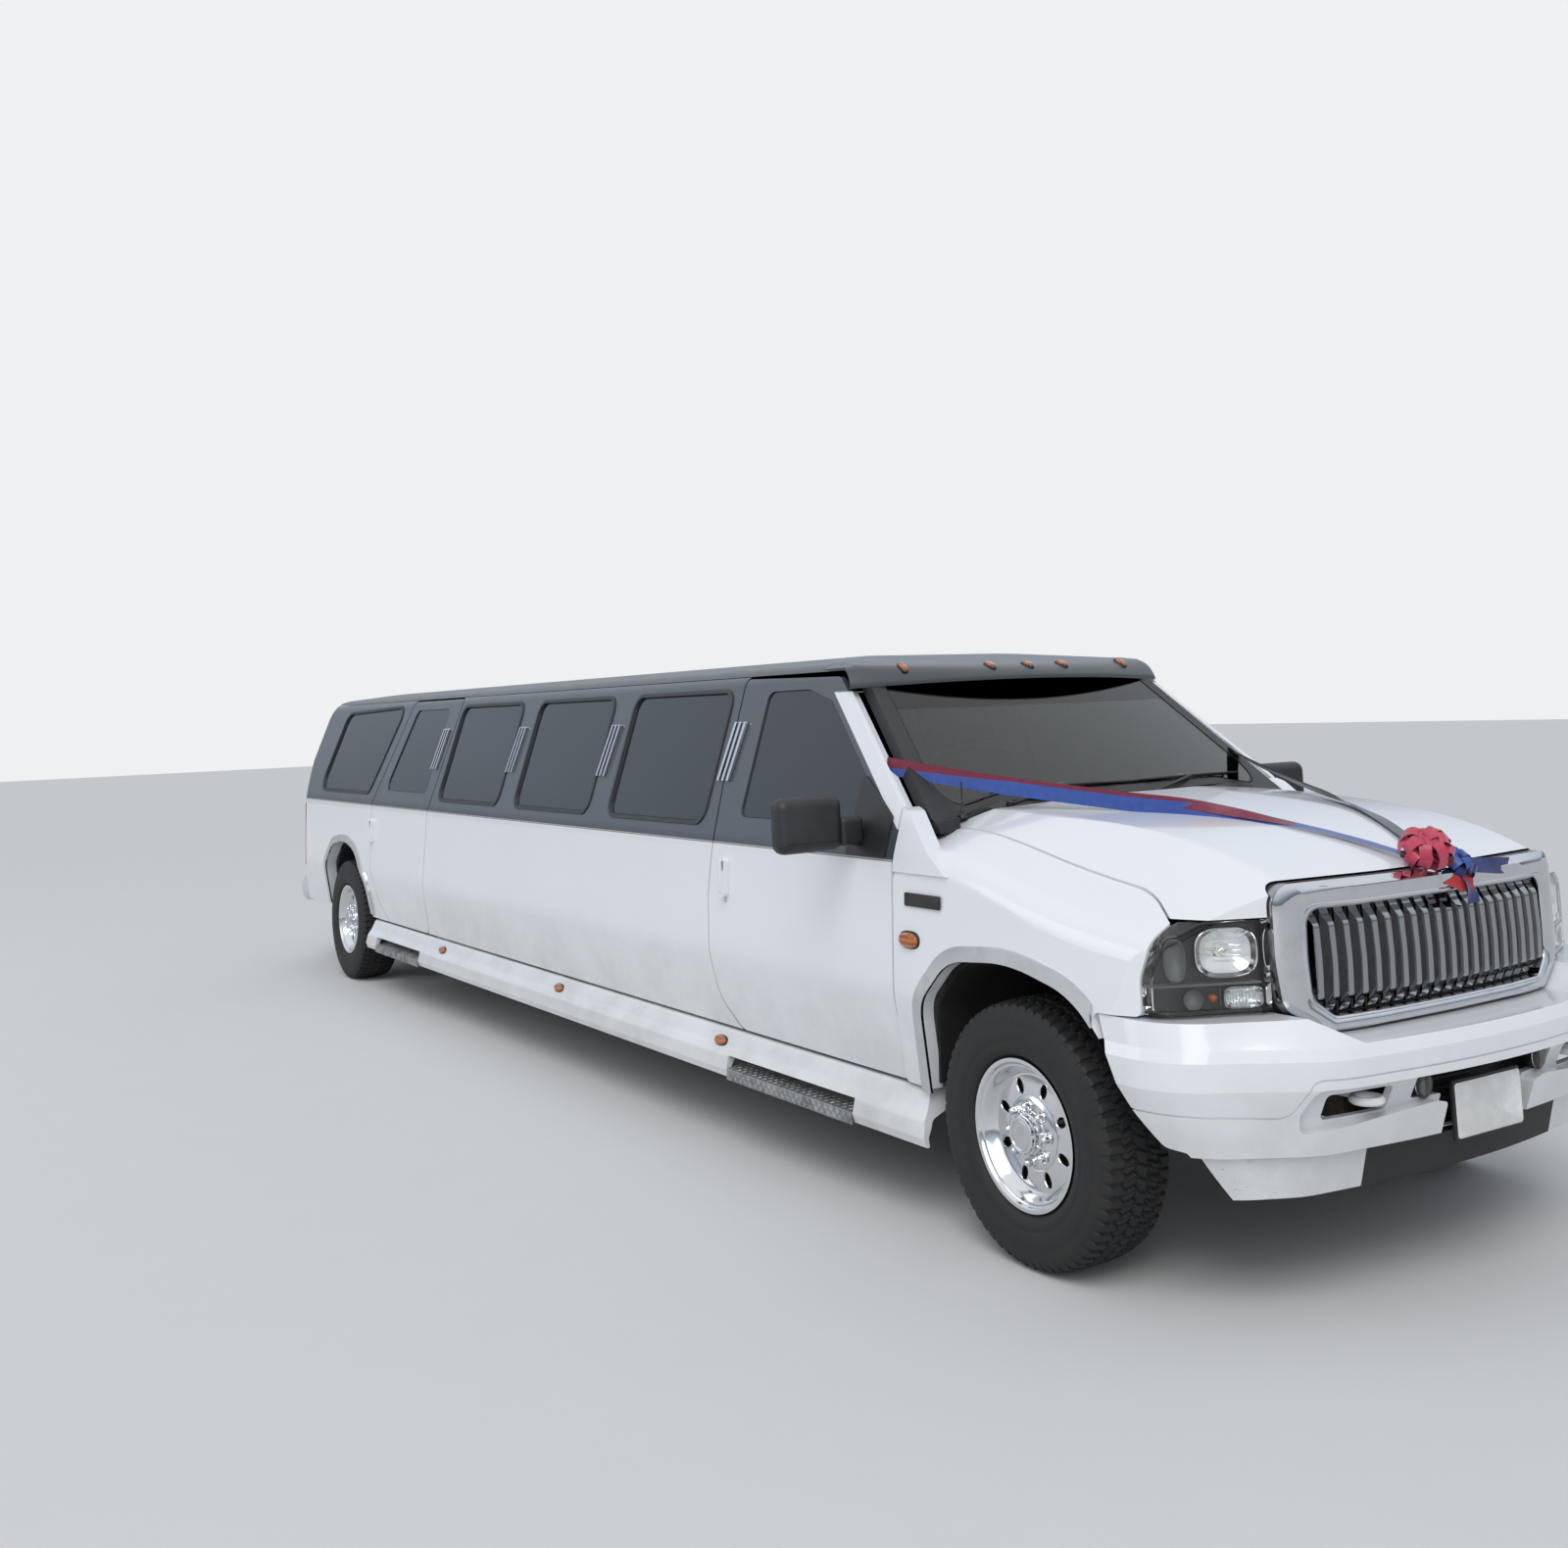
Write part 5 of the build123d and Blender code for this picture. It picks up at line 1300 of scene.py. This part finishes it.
def visor_top(y):
    """The visor's top at a distance from the middle: along the roof, over its edge and down to the lip."""
    lip = visor_lip(y)
    inner = y * 0.955
    edge_x = -1.075 - 0.150 * inner * inner
    start_x = -1.420 + 0.086 * (y / visor_half) ** 2
    row = []
    for k in range(visor_flat_steps):
        share = k / (visor_flat_steps - 1)
        x = start_x + (edge_x - start_x) * share
        row.append(spot(x, inner + (y - inner) * share * 0.5, roof_top(x, inner) + 0.003))
    last = row[-1]
    knee = Vector((lip.x - 0.022, (last.y + lip.y) / 2, last.z - 0.010))
    for k in range(1, visor_edge_steps + 1):
        t = k / visor_edge_steps
        row.append(last * (1 - t) ** 2 + knee * (2 * t * (1 - t)) + lip * t * t)
    return row


def make_visor():
    """A thin grey shell from pillar to pillar, black underneath."""
    bm = bmesh.new()
    rows = [visor_top(visor_half * k / 20) for k in range(-20, 21)]
    unders = [[p + Vector((-0.003, 0, -visor_thick)) for p in row] for row in rows]
    sweep(bm, rows, closed_row=False)
    sweep(bm, unders, closed_row=False, look=1)
    sweep(bm, [[row[-1] for row in rows], [row[-1] for row in unders]], closed_row=False)
    for index in (0, -1):
        sweep(bm, [rows[index], unders[index]], closed_row=False)
    bmesh.ops.remove_doubles(bm, verts=bm.verts, dist=0.0002)
    visor = add_piece("visor_shell", bm, ["slate", "visor_under"], "car", 50)
    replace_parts(visor, "roof_visor")


# A lens's form from its rim to its middle: (share of its size, share of its height)
dome_form = ((1.0, -0.3), (1.0, 0.25), (0.96, 0.55), (0.86, 0.80), (0.62, 0.95), (0.30, 1.0), (0.03, 1.0))


def dome(bm, middle, along, up, out, half, height, look=0):
    """A low rounded lens on a face; out is the way that it faces."""
    rows = []
    for share, rise in dome_form:
        rows.append(oval(middle + out * (height * rise), along, up, [h * share for h in half], 28, 2.5))
    sweep(bm, rows, look=look)


def marker(bm, place, along, up, out, base, lens_size):
    """A lens on its black base; each has its half length, half width and height."""
    dome(bm, place, along, up, out, base[:2], base[2], look=1)
    dome(bm, place + out * 0.003, along, up, out, lens_size[:2], lens_size[2])


# The marker lamps' places, and the half length, half width and height of their bases and lenses
visor_lamp_y = (-0.580, -0.190, 0.0, 0.190, 0.580)
visor_lamp_size = ((0.036, 0.017, 0.006), (0.031, 0.014, 0.011))
board_lamp_x, board_lamp_z = (-1.860, -3.480, -5.150), 0.392
board_lamp_size = ((0.047, 0.022, 0.007), (0.041, 0.018, 0.015))
wing_lamp_x, wing_lamp_z = -0.503, 0.931
wing_lamp_size = ((0.056, 0.030, 0.008), (0.050, 0.0245, 0.017))


def make_markers():
    """Amber lenses on black bases: five on the visor, three on each running board and one on each wing."""
    looks = ["amber", "lamp_black"]
    bm = bmesh.new()
    for y in visor_lamp_y:
        row = visor_top(y)
        ahead = (row[11] - row[9]).normalized()
        marker(bm, row[10], ahead, left_y, ahead.cross(left_y).normalized(), *visor_lamp_size)
    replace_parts(add_piece("visor_lamps", bm, looks, "car", 40), "marker_lamps")
    board, wing = surface_of("running_boards"), surface_of("front_wings")
    for side, sign in sides:
        bm = bmesh.new()
        for x in board_lamp_x:
            place, normal = board.ray_cast(spot(x, sign * 1.3, board_lamp_z), left_y * -sign)[:2]
            out = toward(0, sign * abs(normal.y), abs(normal.z))
            marker(bm, place, forward_x, out.cross(forward_x).normalized(), out, *board_lamp_size)
        add_piece(f"board_lamps_{side}", bm, looks, "car", 40)
        bm = bmesh.new()
        place = wing.ray_cast(spot(wing_lamp_x, sign * 1.3, wing_lamp_z), left_y * -sign)[0]
        marker(bm, place, forward_x, up_z, left_y * sign, *wing_lamp_size)
        add_piece(f"wing_marker_{side}", bm, looks, "car", 40)


# The two bouquets behind the windscreen, their roses and leaves, and the turn from one to the next
bouquets = ((-0.700, -0.130, 1.315), (-0.700, 0.500, 1.315))
rose_count, rose_size, rose_pitch = 11, 0.034, 0.034
leaf_count, leaf_length, leaf_half = 14, 0.060, 0.016
flower_turn = 2.4
# A rose's rings from the heart out: petals, reach and rise
petal_rings = ((3, 0.30, 0.75), (4, 0.62, 0.55), (5, 0.95, 0.25))


def add_rose(bm, middle, size, tilt):
    """A half-open rose: rings of overlapping petals about its middle."""
    turn = Matrix.Rotation(tilt[0], 3, "X") @ Matrix.Rotation(tilt[1], 3, "Y")
    for ring, (count, reach, rise) in enumerate(petal_rings):
        for k in range(count):
            start = 2 * math.pi * (k / count + 0.17 * ring)
            rows = []
            for up in (0, 0.25, 0.5, 0.75, 1):
                row = []
                for i in range(7):
                    around = start + (i / 6 - 0.5) * 2.6 * math.pi / count
                    curl = 1 + 0.22 * up * up - 0.12 * abs(i / 3 - 1) ** 2 * up
                    radius = size * reach * (0.45 + 0.55 * up) * curl
                    height = size * (rise * up - 0.35 + 0.08 * math.cos(2.2 * (i - 3)) * up)
                    place = Vector((math.cos(around) * radius, math.sin(around) * radius, height))
                    row.append(middle + turn @ place)
                rows.append(row)
            sweep(bm, rows, closed_row=False)


def make_bouquets():
    for index, middle in enumerate(bouquets):
        bm = bmesh.new()
        for k in range(rose_count):
            x, y = math.cos(k * flower_turn), math.sin(k * flower_turn)
            away = rose_pitch * math.sqrt(k)
            place = spot(*middle) + Vector((x * away * 0.6, y * away * 1.35, 0.070 - away * 0.35))
            add_rose(bm, place, rose_size * random.uniform(0.9, 1.1), (-y * away * 6, x * away * 6))
        for k in range(leaf_count):
            x, y = math.cos(k * flower_turn + 0.8), math.sin(k * flower_turn + 0.8)
            away = 0.045 + 0.008 * (k % 4)
            heart = spot(*middle) + Vector((x * away * 0.7, y * away * 1.8, 0.020))
            out = toward(x, y * 1.6, 0.55)
            across = out.cross(up_z).normalized()
            rows = []
            for t in (0, 0.2, 0.4, 0.6, 0.8, 1):
                half = leaf_half * math.sin(math.pi * (0.08 + 0.90 * t))
                rib = heart + out * (leaf_length * t) - up_z * (0.016 * t * t)
                rows.append([rib - across * half, rib - up_z * 0.003, rib + across * half])
            sweep(bm, rows, closed_row=False, look=1)
        add_piece(f"bouquet_{index + 1}", bm, ["petal", "leaf"], "car", 80)


# Wipers and aerial

def on_screen(y, z, out):
    """A place ahead of the windscreen's glass, measured along X."""
    middle = -0.400 - (z - 1.290) / 0.806
    bow = 0.104 * (y / 0.966) ** 2
    return spot(middle - bow + out, y, z)


# Each wiper's pivot and the far end of its blade, across the car
wiper_y = ((-0.560, 0.020), (0.080, 0.660))


def make_wipers():
    """Two arms with their blades, lying on the foot of the windscreen."""
    for index, (pivot_y, tip_y) in enumerate(wiper_y):
        bm = bmesh.new()
        pivot = on_screen(pivot_y, 1.352, 0.030)
        elbow = on_screen(pivot_y + 0.11, 1.372, 0.034)
        clip = on_screen((pivot_y + tip_y) / 2 + 0.02, 1.402, 0.020)
        tube(bm, curve_through([pivot, elbow, clip], 5), 0.0065, 8)
        tube(bm, [pivot + up_z * rise for rise in (-0.030, 0.008, 0.014)], [0.016, 0.016, 0.009], 16)
        add_piece(f"wiper_arm_{index + 1}", bm, "black_plastic", "car", 45)
        bm = bmesh.new()
        start, end = pivot_y - 0.02, tip_y + 0.04
        places = []
        for k in range(15):
            y = start + (end - start) * k / 14
            places.append(on_screen(y, 1.398 + 0.004 * math.sin(math.pi * k / 14), 0.006))
        tube(bm, places, 0.0042, 6)
        bridge = [p + forward_x * 0.010 for p in places[2:-2]]
        tube(bm, bridge, 0.0034, 6)
        for k in (2, 5, 9, 12):
            tube(bm, [places[k], bridge[k - 2]], 0.0034, 6)
        add_piece(f"wiper_blade_{index + 1}", bm, "seal", "car", 45)


def make_aerial():
    """A short stiff rod on its foot, as (radius, height)."""
    foot = spot(-0.512, -0.752, 1.316)
    section = [(0.018, 0.0), (0.018, 0.006), (0.012, 0.014), (0.0065, 0.018), (0.0060, 0.030),
               (0.0036, 0.034), (0.0030, 0.120), (0.0034, 0.124), (0.0020, 0.128)]
    run = [foot + up_z * h for r, h in section]
    add_tube("aerial", run, [r for r, h in section], 14, "black_plastic", sharp=50)


# Door handles, the bare plate on the wing, mirrors and step lugs

# Each door's handle, from the front axle: end, X and Z
handle_places = (("front", -1.746, 1.051), ("rear", -6.410, 1.021))


def make_handles():
    """An upright lever on each door's raised plate, with a black plate as painted shade in the recess at its
    front edge, and a lock.
    """
    for side, sign in sides:
        for end, x, z in handle_places:
            y = sign * (side_y(z) + 0.0238)
            body = f"{end}_door_{side}_body"
            near, far = sorted((y, y + sign * 0.009))
            low, high = spot(x - 0.017, near, z - 0.058), spot(x + 0.004, far, z + 0.068)
            add_box(f"handle_{end}_{side}", low, high, 0.0040, 3, "white", body)
            # A black plate inside the gap at the lever's front edge: painted shade of the recess.
            near, far = sorted((y - sign * 0.004, y + sign * 0.0012))
            low, high = spot(x + 0.0055, near, z - 0.056), spot(x + 0.0155, far, z + 0.066)
            add_box(f"handle_gap_shade_{end}_{side}", low, high, 0.002, 2, "lamp_black", body)
            if end == "front":
                run = [spot(x - 0.004, y - sign * depth, z - 0.088) for depth in (0.024, 0.016, 0.0150)]
                add_tube(f"door_lock_{side}", run, [0.012, 0.012, 0.009], 20, "chrome", body)


def make_wing_plate():
    """The bare dark plate behind the front wheel on the side that the photograph shows."""
    bm = bmesh.new()
    up = toward(0, 0.045, 1)
    place = spot(-0.430, -1.0035, 1.064)
    plate(bm, rounded_rectangle(0.196, 0.044, 0.004), place, forward_x, up, 0.0035, 0.001)
    place = spot(-0.430, -1.0070, 1.064)
    plate(bm, rounded_rectangle(0.184, 0.034, 0.003), place, forward_x, up, 0.0008, 0.0003, look=1)
    add_piece("wing_plate", bm, ["lamp_black", "trim_plastic"], "car")


def make_mirror_glass():
    """The glass of each mirror, and the seam across its shell."""
    for side, sign in sides:
        body = f"front_door_{side}_body"
        bm = bmesh.new()
        outline = rounded_rectangle(0.205, 0.150, 0.030)
        plate(bm, outline, spot(-0.8600, sign * 1.203, 1.312), -left_y, up_z, 0.0022, 0.0008)
        add_piece(f"mirror_glass_{side}", bm, "mirror_glass", body)
        run = [spot(-0.7735, sign * (1.100 + 0.205 * k / 19), 1.2515) for k in range(20)]
        add_tube(f"mirror_seam_{side}", run, 0.0014, 6, "seal", body)


# The steps' front and rear ends, and the pitch and the corners of the chequer plate's lozenges
step_spans = ((-0.868, -1.752), (-5.480, -6.300))
lug_pitch = 0.0195
lug_corners = ((1, 0), (0.45, 1), (-0.45, 1), (-1, 0), (-0.45, -1), (0.45, -1))


def add_lug(bm, place, across, up, odd):
    """One raised lozenge of the chequer plate, turned 45 degrees one way or the other."""
    turn = math.radians(45 if odd else -45)
    d = forward_x * math.cos(turn) + across * math.sin(turn)
    s = up.cross(d).normalized()
    rings = []
    for length, width, rise in ((0.0115, 0.0036, -0.0004), (0.0080, 0.0018, 0.0016)):
        middle = place + up * rise
        rings.append([bm.verts.new(middle + d * (length * c) + s * (width * w)) for c, w in lug_corners])
    faces_between(bm, *rings)
    bm.faces.new(rings[1])


def make_step_lugs():
    """Chequer plate on each step's tread, lip and riser."""
    for side, sign in sides:
        tread_across, tread_up = toward(0, sign, -0.2), toward(0, sign * 0.2, 1)
        bm = bmesh.new()
        for front, rear in step_spans:
            for k in range(int((front - rear - 0.03) / lug_pitch)):
                x = front - 0.018 - k * lug_pitch
                for row in range(6):
                    y = 0.912 + row * lug_pitch
                    place = spot(x, sign * y, 0.330 - (y - 0.900) * 0.206)
                    add_lug(bm, place, tread_across, tread_up, (k + row) % 2)
                for row in range(2):
                    place = spot(x, sign * (1.0272 + row * 0.0016), 0.2925 - row * 0.017)
                    add_lug(bm, place, up_z, toward(0, sign, 0.1), (k + row) % 2)
                for row in range(3):
                    place = spot(x, sign * 0.902, 0.350 + row * lug_pitch)
                    add_lug(bm, place, up_z, left_y * sign, (k + row) % 2)
        add_piece(f"step_lugs_{side}", bm, "step_metal", "car", 20)


# Seats: a pad's steps along it and round it, how square it is, the depth of its sewn channels and how far its
# sides draw in

pad_length_steps, pad_round_steps = 20, 32
pad_power = 0.42
pad_groove = 0.010
pad_draw = 0.012


def pad_mesh(bm, middle, axes, size, crown, channels=0):
    """A stuffed pad: crowned on top, its sides drawn in between the corners, with sewn channels across it.
    axes are its directions (length, width, up)."""
    along, across, up = axes
    half = [s / 2 for s in size]
    rows = []
    for i in range(pad_length_steps + 1):
        t = -1 + 2 * i / pad_length_steps
        u = math.sin(t * math.pi / 2) * 0.35 + t * 0.65
        end = 0.0 if i in (0, pad_length_steps) else max(0.0, 1 - abs(u) ** 9) ** 0.5
        narrow = 0.30 + 0.70 * end
        row = []
        for j in range(pad_round_steps):
            turn = 2 * math.pi * j / pad_round_steps
            c, s = math.cos(turn), math.sin(turn)
            v = math.copysign(abs(c) ** pad_power, c)
            w = math.copysign(abs(s) ** pad_power, s)
            swell = crown * (1 - u * u) * (1 - v * v)
            if w <= 0:
                swell *= -0.15
            elif channels:
                swell -= pad_groove * (0.5 + 0.5 * math.cos(math.pi * channels * (u + 1))) ** 6
            draw = pad_draw * (2 * abs(v) - 1) * (1 - u * u) if abs(v) > 0.5 else 0.0
            place = middle + along * (u * half[0]) + across * (v * (half[1] * narrow - draw))
            row.append(place + up * (w * half[2] * narrow + swell))
        rows.append(row)
    sweep(bm, rows)


def make_front_seats():
    """Cushion, back and headrest on two posts, with a plain base."""
    seat_axes = (toward(1, 0, -0.06), left_y, toward(0.06, 0, 1))
    back_axes = (toward(-0.235, 0, 1), left_y, toward(1, 0, 0.235))
    for side, sign in sides:
        y = sign * 0.430
        bm = bmesh.new()
        pad_mesh(bm, spot(-1.515, y, 0.870), seat_axes, (0.540, 0.500, 0.135), 0.022, 3)
        pad_mesh(bm, spot(-1.862, y, 1.205), back_axes, (0.640, 0.490, 0.115), 0.020, 4)
        pad_mesh(bm, spot(-1.950, y, 1.600), back_axes, (0.165, 0.270, 0.085), 0.012)
        for post in (y - 0.05, y + 0.05):
            tube(bm, [spot(-1.925, post, 1.46), spot(-1.940, post, 1.56)], 0.006, 8, look=1)
        seat = add_piece(f"front_seat_{side}", bm, ["leather", "chrome"], "car", 60)
        if side == "right":
            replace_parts(seat, "front_seats")
        low, high = spot(-1.760, y - 0.19, 0.650), spot(-1.300, y + 0.19, 0.800)
        add_box(f"seat_base_{side}", low, high, 0.02, 2, "dash")


def make_lounge():
    """The long bench on the car's left side and the rear bench, in cushions."""
    start, end, count = -5.900, -2.250, 5
    length = (end - start) / count
    flat_axes = (forward_x, left_y, up_z)
    back_axes = (forward_x, toward(0, 0.165, 1), toward(0, -1, 0.165))
    bm = bmesh.new()
    for k in range(count):
        x = start + (k + 0.5) * length
        pad_mesh(bm, spot(x, 0.565, 0.905), flat_axes, (length - 0.012, 0.470, 0.110), 0.016, 4)
        pad_mesh(bm, spot(x, 0.812, 1.075), back_axes, (length - 0.012, 0.270, 0.095), 0.012, 4)
    bench = add_piece("side_bench", bm, "leather", "car", 60)
    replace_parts(bench, "lounge_seats")
    bm = bmesh.new()
    rounded_box(bm, spot(start, 0.345, 0.650), spot(end, 0.800, 0.860), 0.02, 2)
    rounded_box(bm, spot(-6.720, -0.640, 0.650), spot(-6.260, 0.640, 0.860), 0.02, 2)
    add_piece("bench_bases", bm, "dash", "car")
    flat_axes = (left_y, forward_x, up_z)
    back_axes = (left_y, toward(-0.36, 0, 1), toward(1, 0, 0.36))
    bm = bmesh.new()
    for y in (-0.435, 0.0, 0.435):
        pad_mesh(bm, spot(-6.440, y, 0.905), flat_axes, (0.425, 0.430, 0.110), 0.018, 3)
        pad_mesh(bm, spot(-6.700, y, 1.080), back_axes, (0.425, 0.300, 0.095), 0.014, 3)
    add_piece("rear_bench", bm, "leather", "car", 60)


# Rear details

def make_rear_details():
    """The rear bumper's tread, and the tail doors' handle."""
    bm = bmesh.new()
    rows = []
    for k in range(25):
        y = -0.70 + 1.40 * k / 24
        rows.append([spot(x, y, z) for x, z in ((-8.262, 0.6055), (-8.312, 0.6055), (-8.318, 0.6015))])
    sweep(bm, rows, closed_row=False)
    add_piece("bumper_tread", bm, "black_plastic", "car")
    low, high = spot(-8.222, -0.115, 1.115), spot(-8.196, 0.115, 1.150)
    add_box("tail_handle", low, high, 0.006, 3, "black_plastic", "tail_door_left_body")


# Studio

floor_colour = (0.66, 0.66, 0.655)
back_colour = (0.86, 0.87, 0.88)
fill_colour = (0.84, 0.90, 1.0)
fill_strength = 0.62
# What gloss reflects at each height, from the horizon up: (share of the way up, colour)
gloss_sky = [
    (0.0, (0.20, 0.215, 0.225)),
    (0.08, (0.30, 0.33, 0.35)),
    (0.20, (0.52, 0.60, 0.70)),
    (0.48, (0.80, 0.86, 0.93)),
    (1.0, (0.97, 0.98, 1.0)),
]
sun_from = (0.62, -0.55, 0.95)
sun_strength = 1.15
sun_angle = math.radians(34)
warm_white = (1.0, 0.985, 0.96)
floor_half = 60.0


def make_floor():
    mesh = bpy.data.meshes.new("floor")
    corners = [(x * floor_half, y * floor_half, 0) for x, y in ((-1, -1), (1, -1), (1, 1), (-1, 1))]
    mesh.from_pydata(corners, [], [(0, 1, 2, 3)])
    floor = link("floor", mesh)
    s = Shader("floor_paint")
    speck = s.noise(3.0, 4)
    s.set(Base_Color=s.blend(speck, tuple(c * 0.97 for c in floor_colour), floor_colour), Roughness=0.85)
    mesh.materials.append(s.material)


def make_world():
    """A flat pale backdrop for the camera, a soft even light from all round, and for gloss a sky that darkens
    towards the horizon."""
    world = bpy.data.worlds.new("studio")
    bpy.context.scene.world = world
    world.use_nodes = True
    tree = world.node_tree
    tree.nodes.clear()

    def node(kind, *values):
        """A node whose first sockets are set, or linked where the value is a socket."""
        made = tree.nodes.new(f"ShaderNode{kind}")
        for socket, value in zip(made.inputs, values):
            if isinstance(value, bpy.types.NodeSocket):
                tree.links.new(value, socket)
            else:
                socket.default_value = value
        return made

    path = node("LightPath").outputs
    shown = node("Math", path["Is Camera Ray"], path["Is Transmission Ray"])
    shown.operation = "MAXIMUM"
    height = node("SeparateXYZ", node("TexCoord").outputs["Generated"]).outputs["Z"]
    ramp = node("ValToRGB", height)
    stops = ramp.color_ramp.elements
    stops[0].position, stops[1].position = gloss_sky[0][0], gloss_sky[-1][0]
    stops[0].color, stops[1].color = (*gloss_sky[0][1], 1), (*gloss_sky[-1][1], 1)
    for share, colour in gloss_sky[1:-1]:
        stops.new(share).color = (*colour, 1)
    gloss = node("Background", ramp.outputs[0], 1.0)
    fill = node("Background", (*fill_colour, 1), fill_strength)
    back = node("Background", (*back_colour, 1), 1.0)
    lit = node("MixShader", path["Is Glossy Ray"], fill.outputs[0], gloss.outputs[0])
    seen = node("MixShader", shown.outputs[0], lit.outputs[0], back.outputs[0])
    node("OutputWorld", seen.outputs[0])


# Area lights: name, place, aim, size, power in watts, colour
lamps = [
    ("front_light", (11.0, -7.0, 5.0), (4.0, 0.0, 0.8), 5.0, 150, warm_white),
    ("side_light", (-4.0, -11.0, 5.0), (-1.0, 0.0, 0.8), 7.0, 160, (0.96, 0.98, 1.0)),
]


def add_light(name, data, place, aim):
    lamp = link(name, data)
    lamp.location = place
    lamp.rotation_mode = "QUATERNION"
    lamp.rotation_quaternion = (Vector(aim) - Vector(place)).to_track_quat("-Z", "Y")


def make_lamps():
    sun = bpy.data.lights.new("sun", "SUN")
    sun.energy = sun_strength
    sun.angle = sun_angle
    sun.color = warm_white
    add_light("sun", sun, sun_from, (0, 0, 0))
    for name, place, aim, size, power, colour in lamps:
        data = bpy.data.lights.new(name, "AREA")
        data.shape = "DISK"
        data.size = size
        data.energy = power
        data.color = colour
        add_light(name, data, place, aim)


bpy.context.scene.view_settings.view_transform = "Standard"
make_camera()
make_world()
make_lamps()
make_floor()
materials = make_materials()
finish_packed_parts(materials)
make_tyres()
make_wheels()
make_headlamps()
make_grille_back()
make_grille_bezel()
make_bumper_fittings()
make_ribbons()
make_bow()
make_visor()
make_markers()
make_bouquets()
make_wipers()
make_aerial()
make_handles()
make_wing_plate()
make_mirror_glass()
make_step_lugs()
make_front_seats()
make_lounge()
make_rear_details()
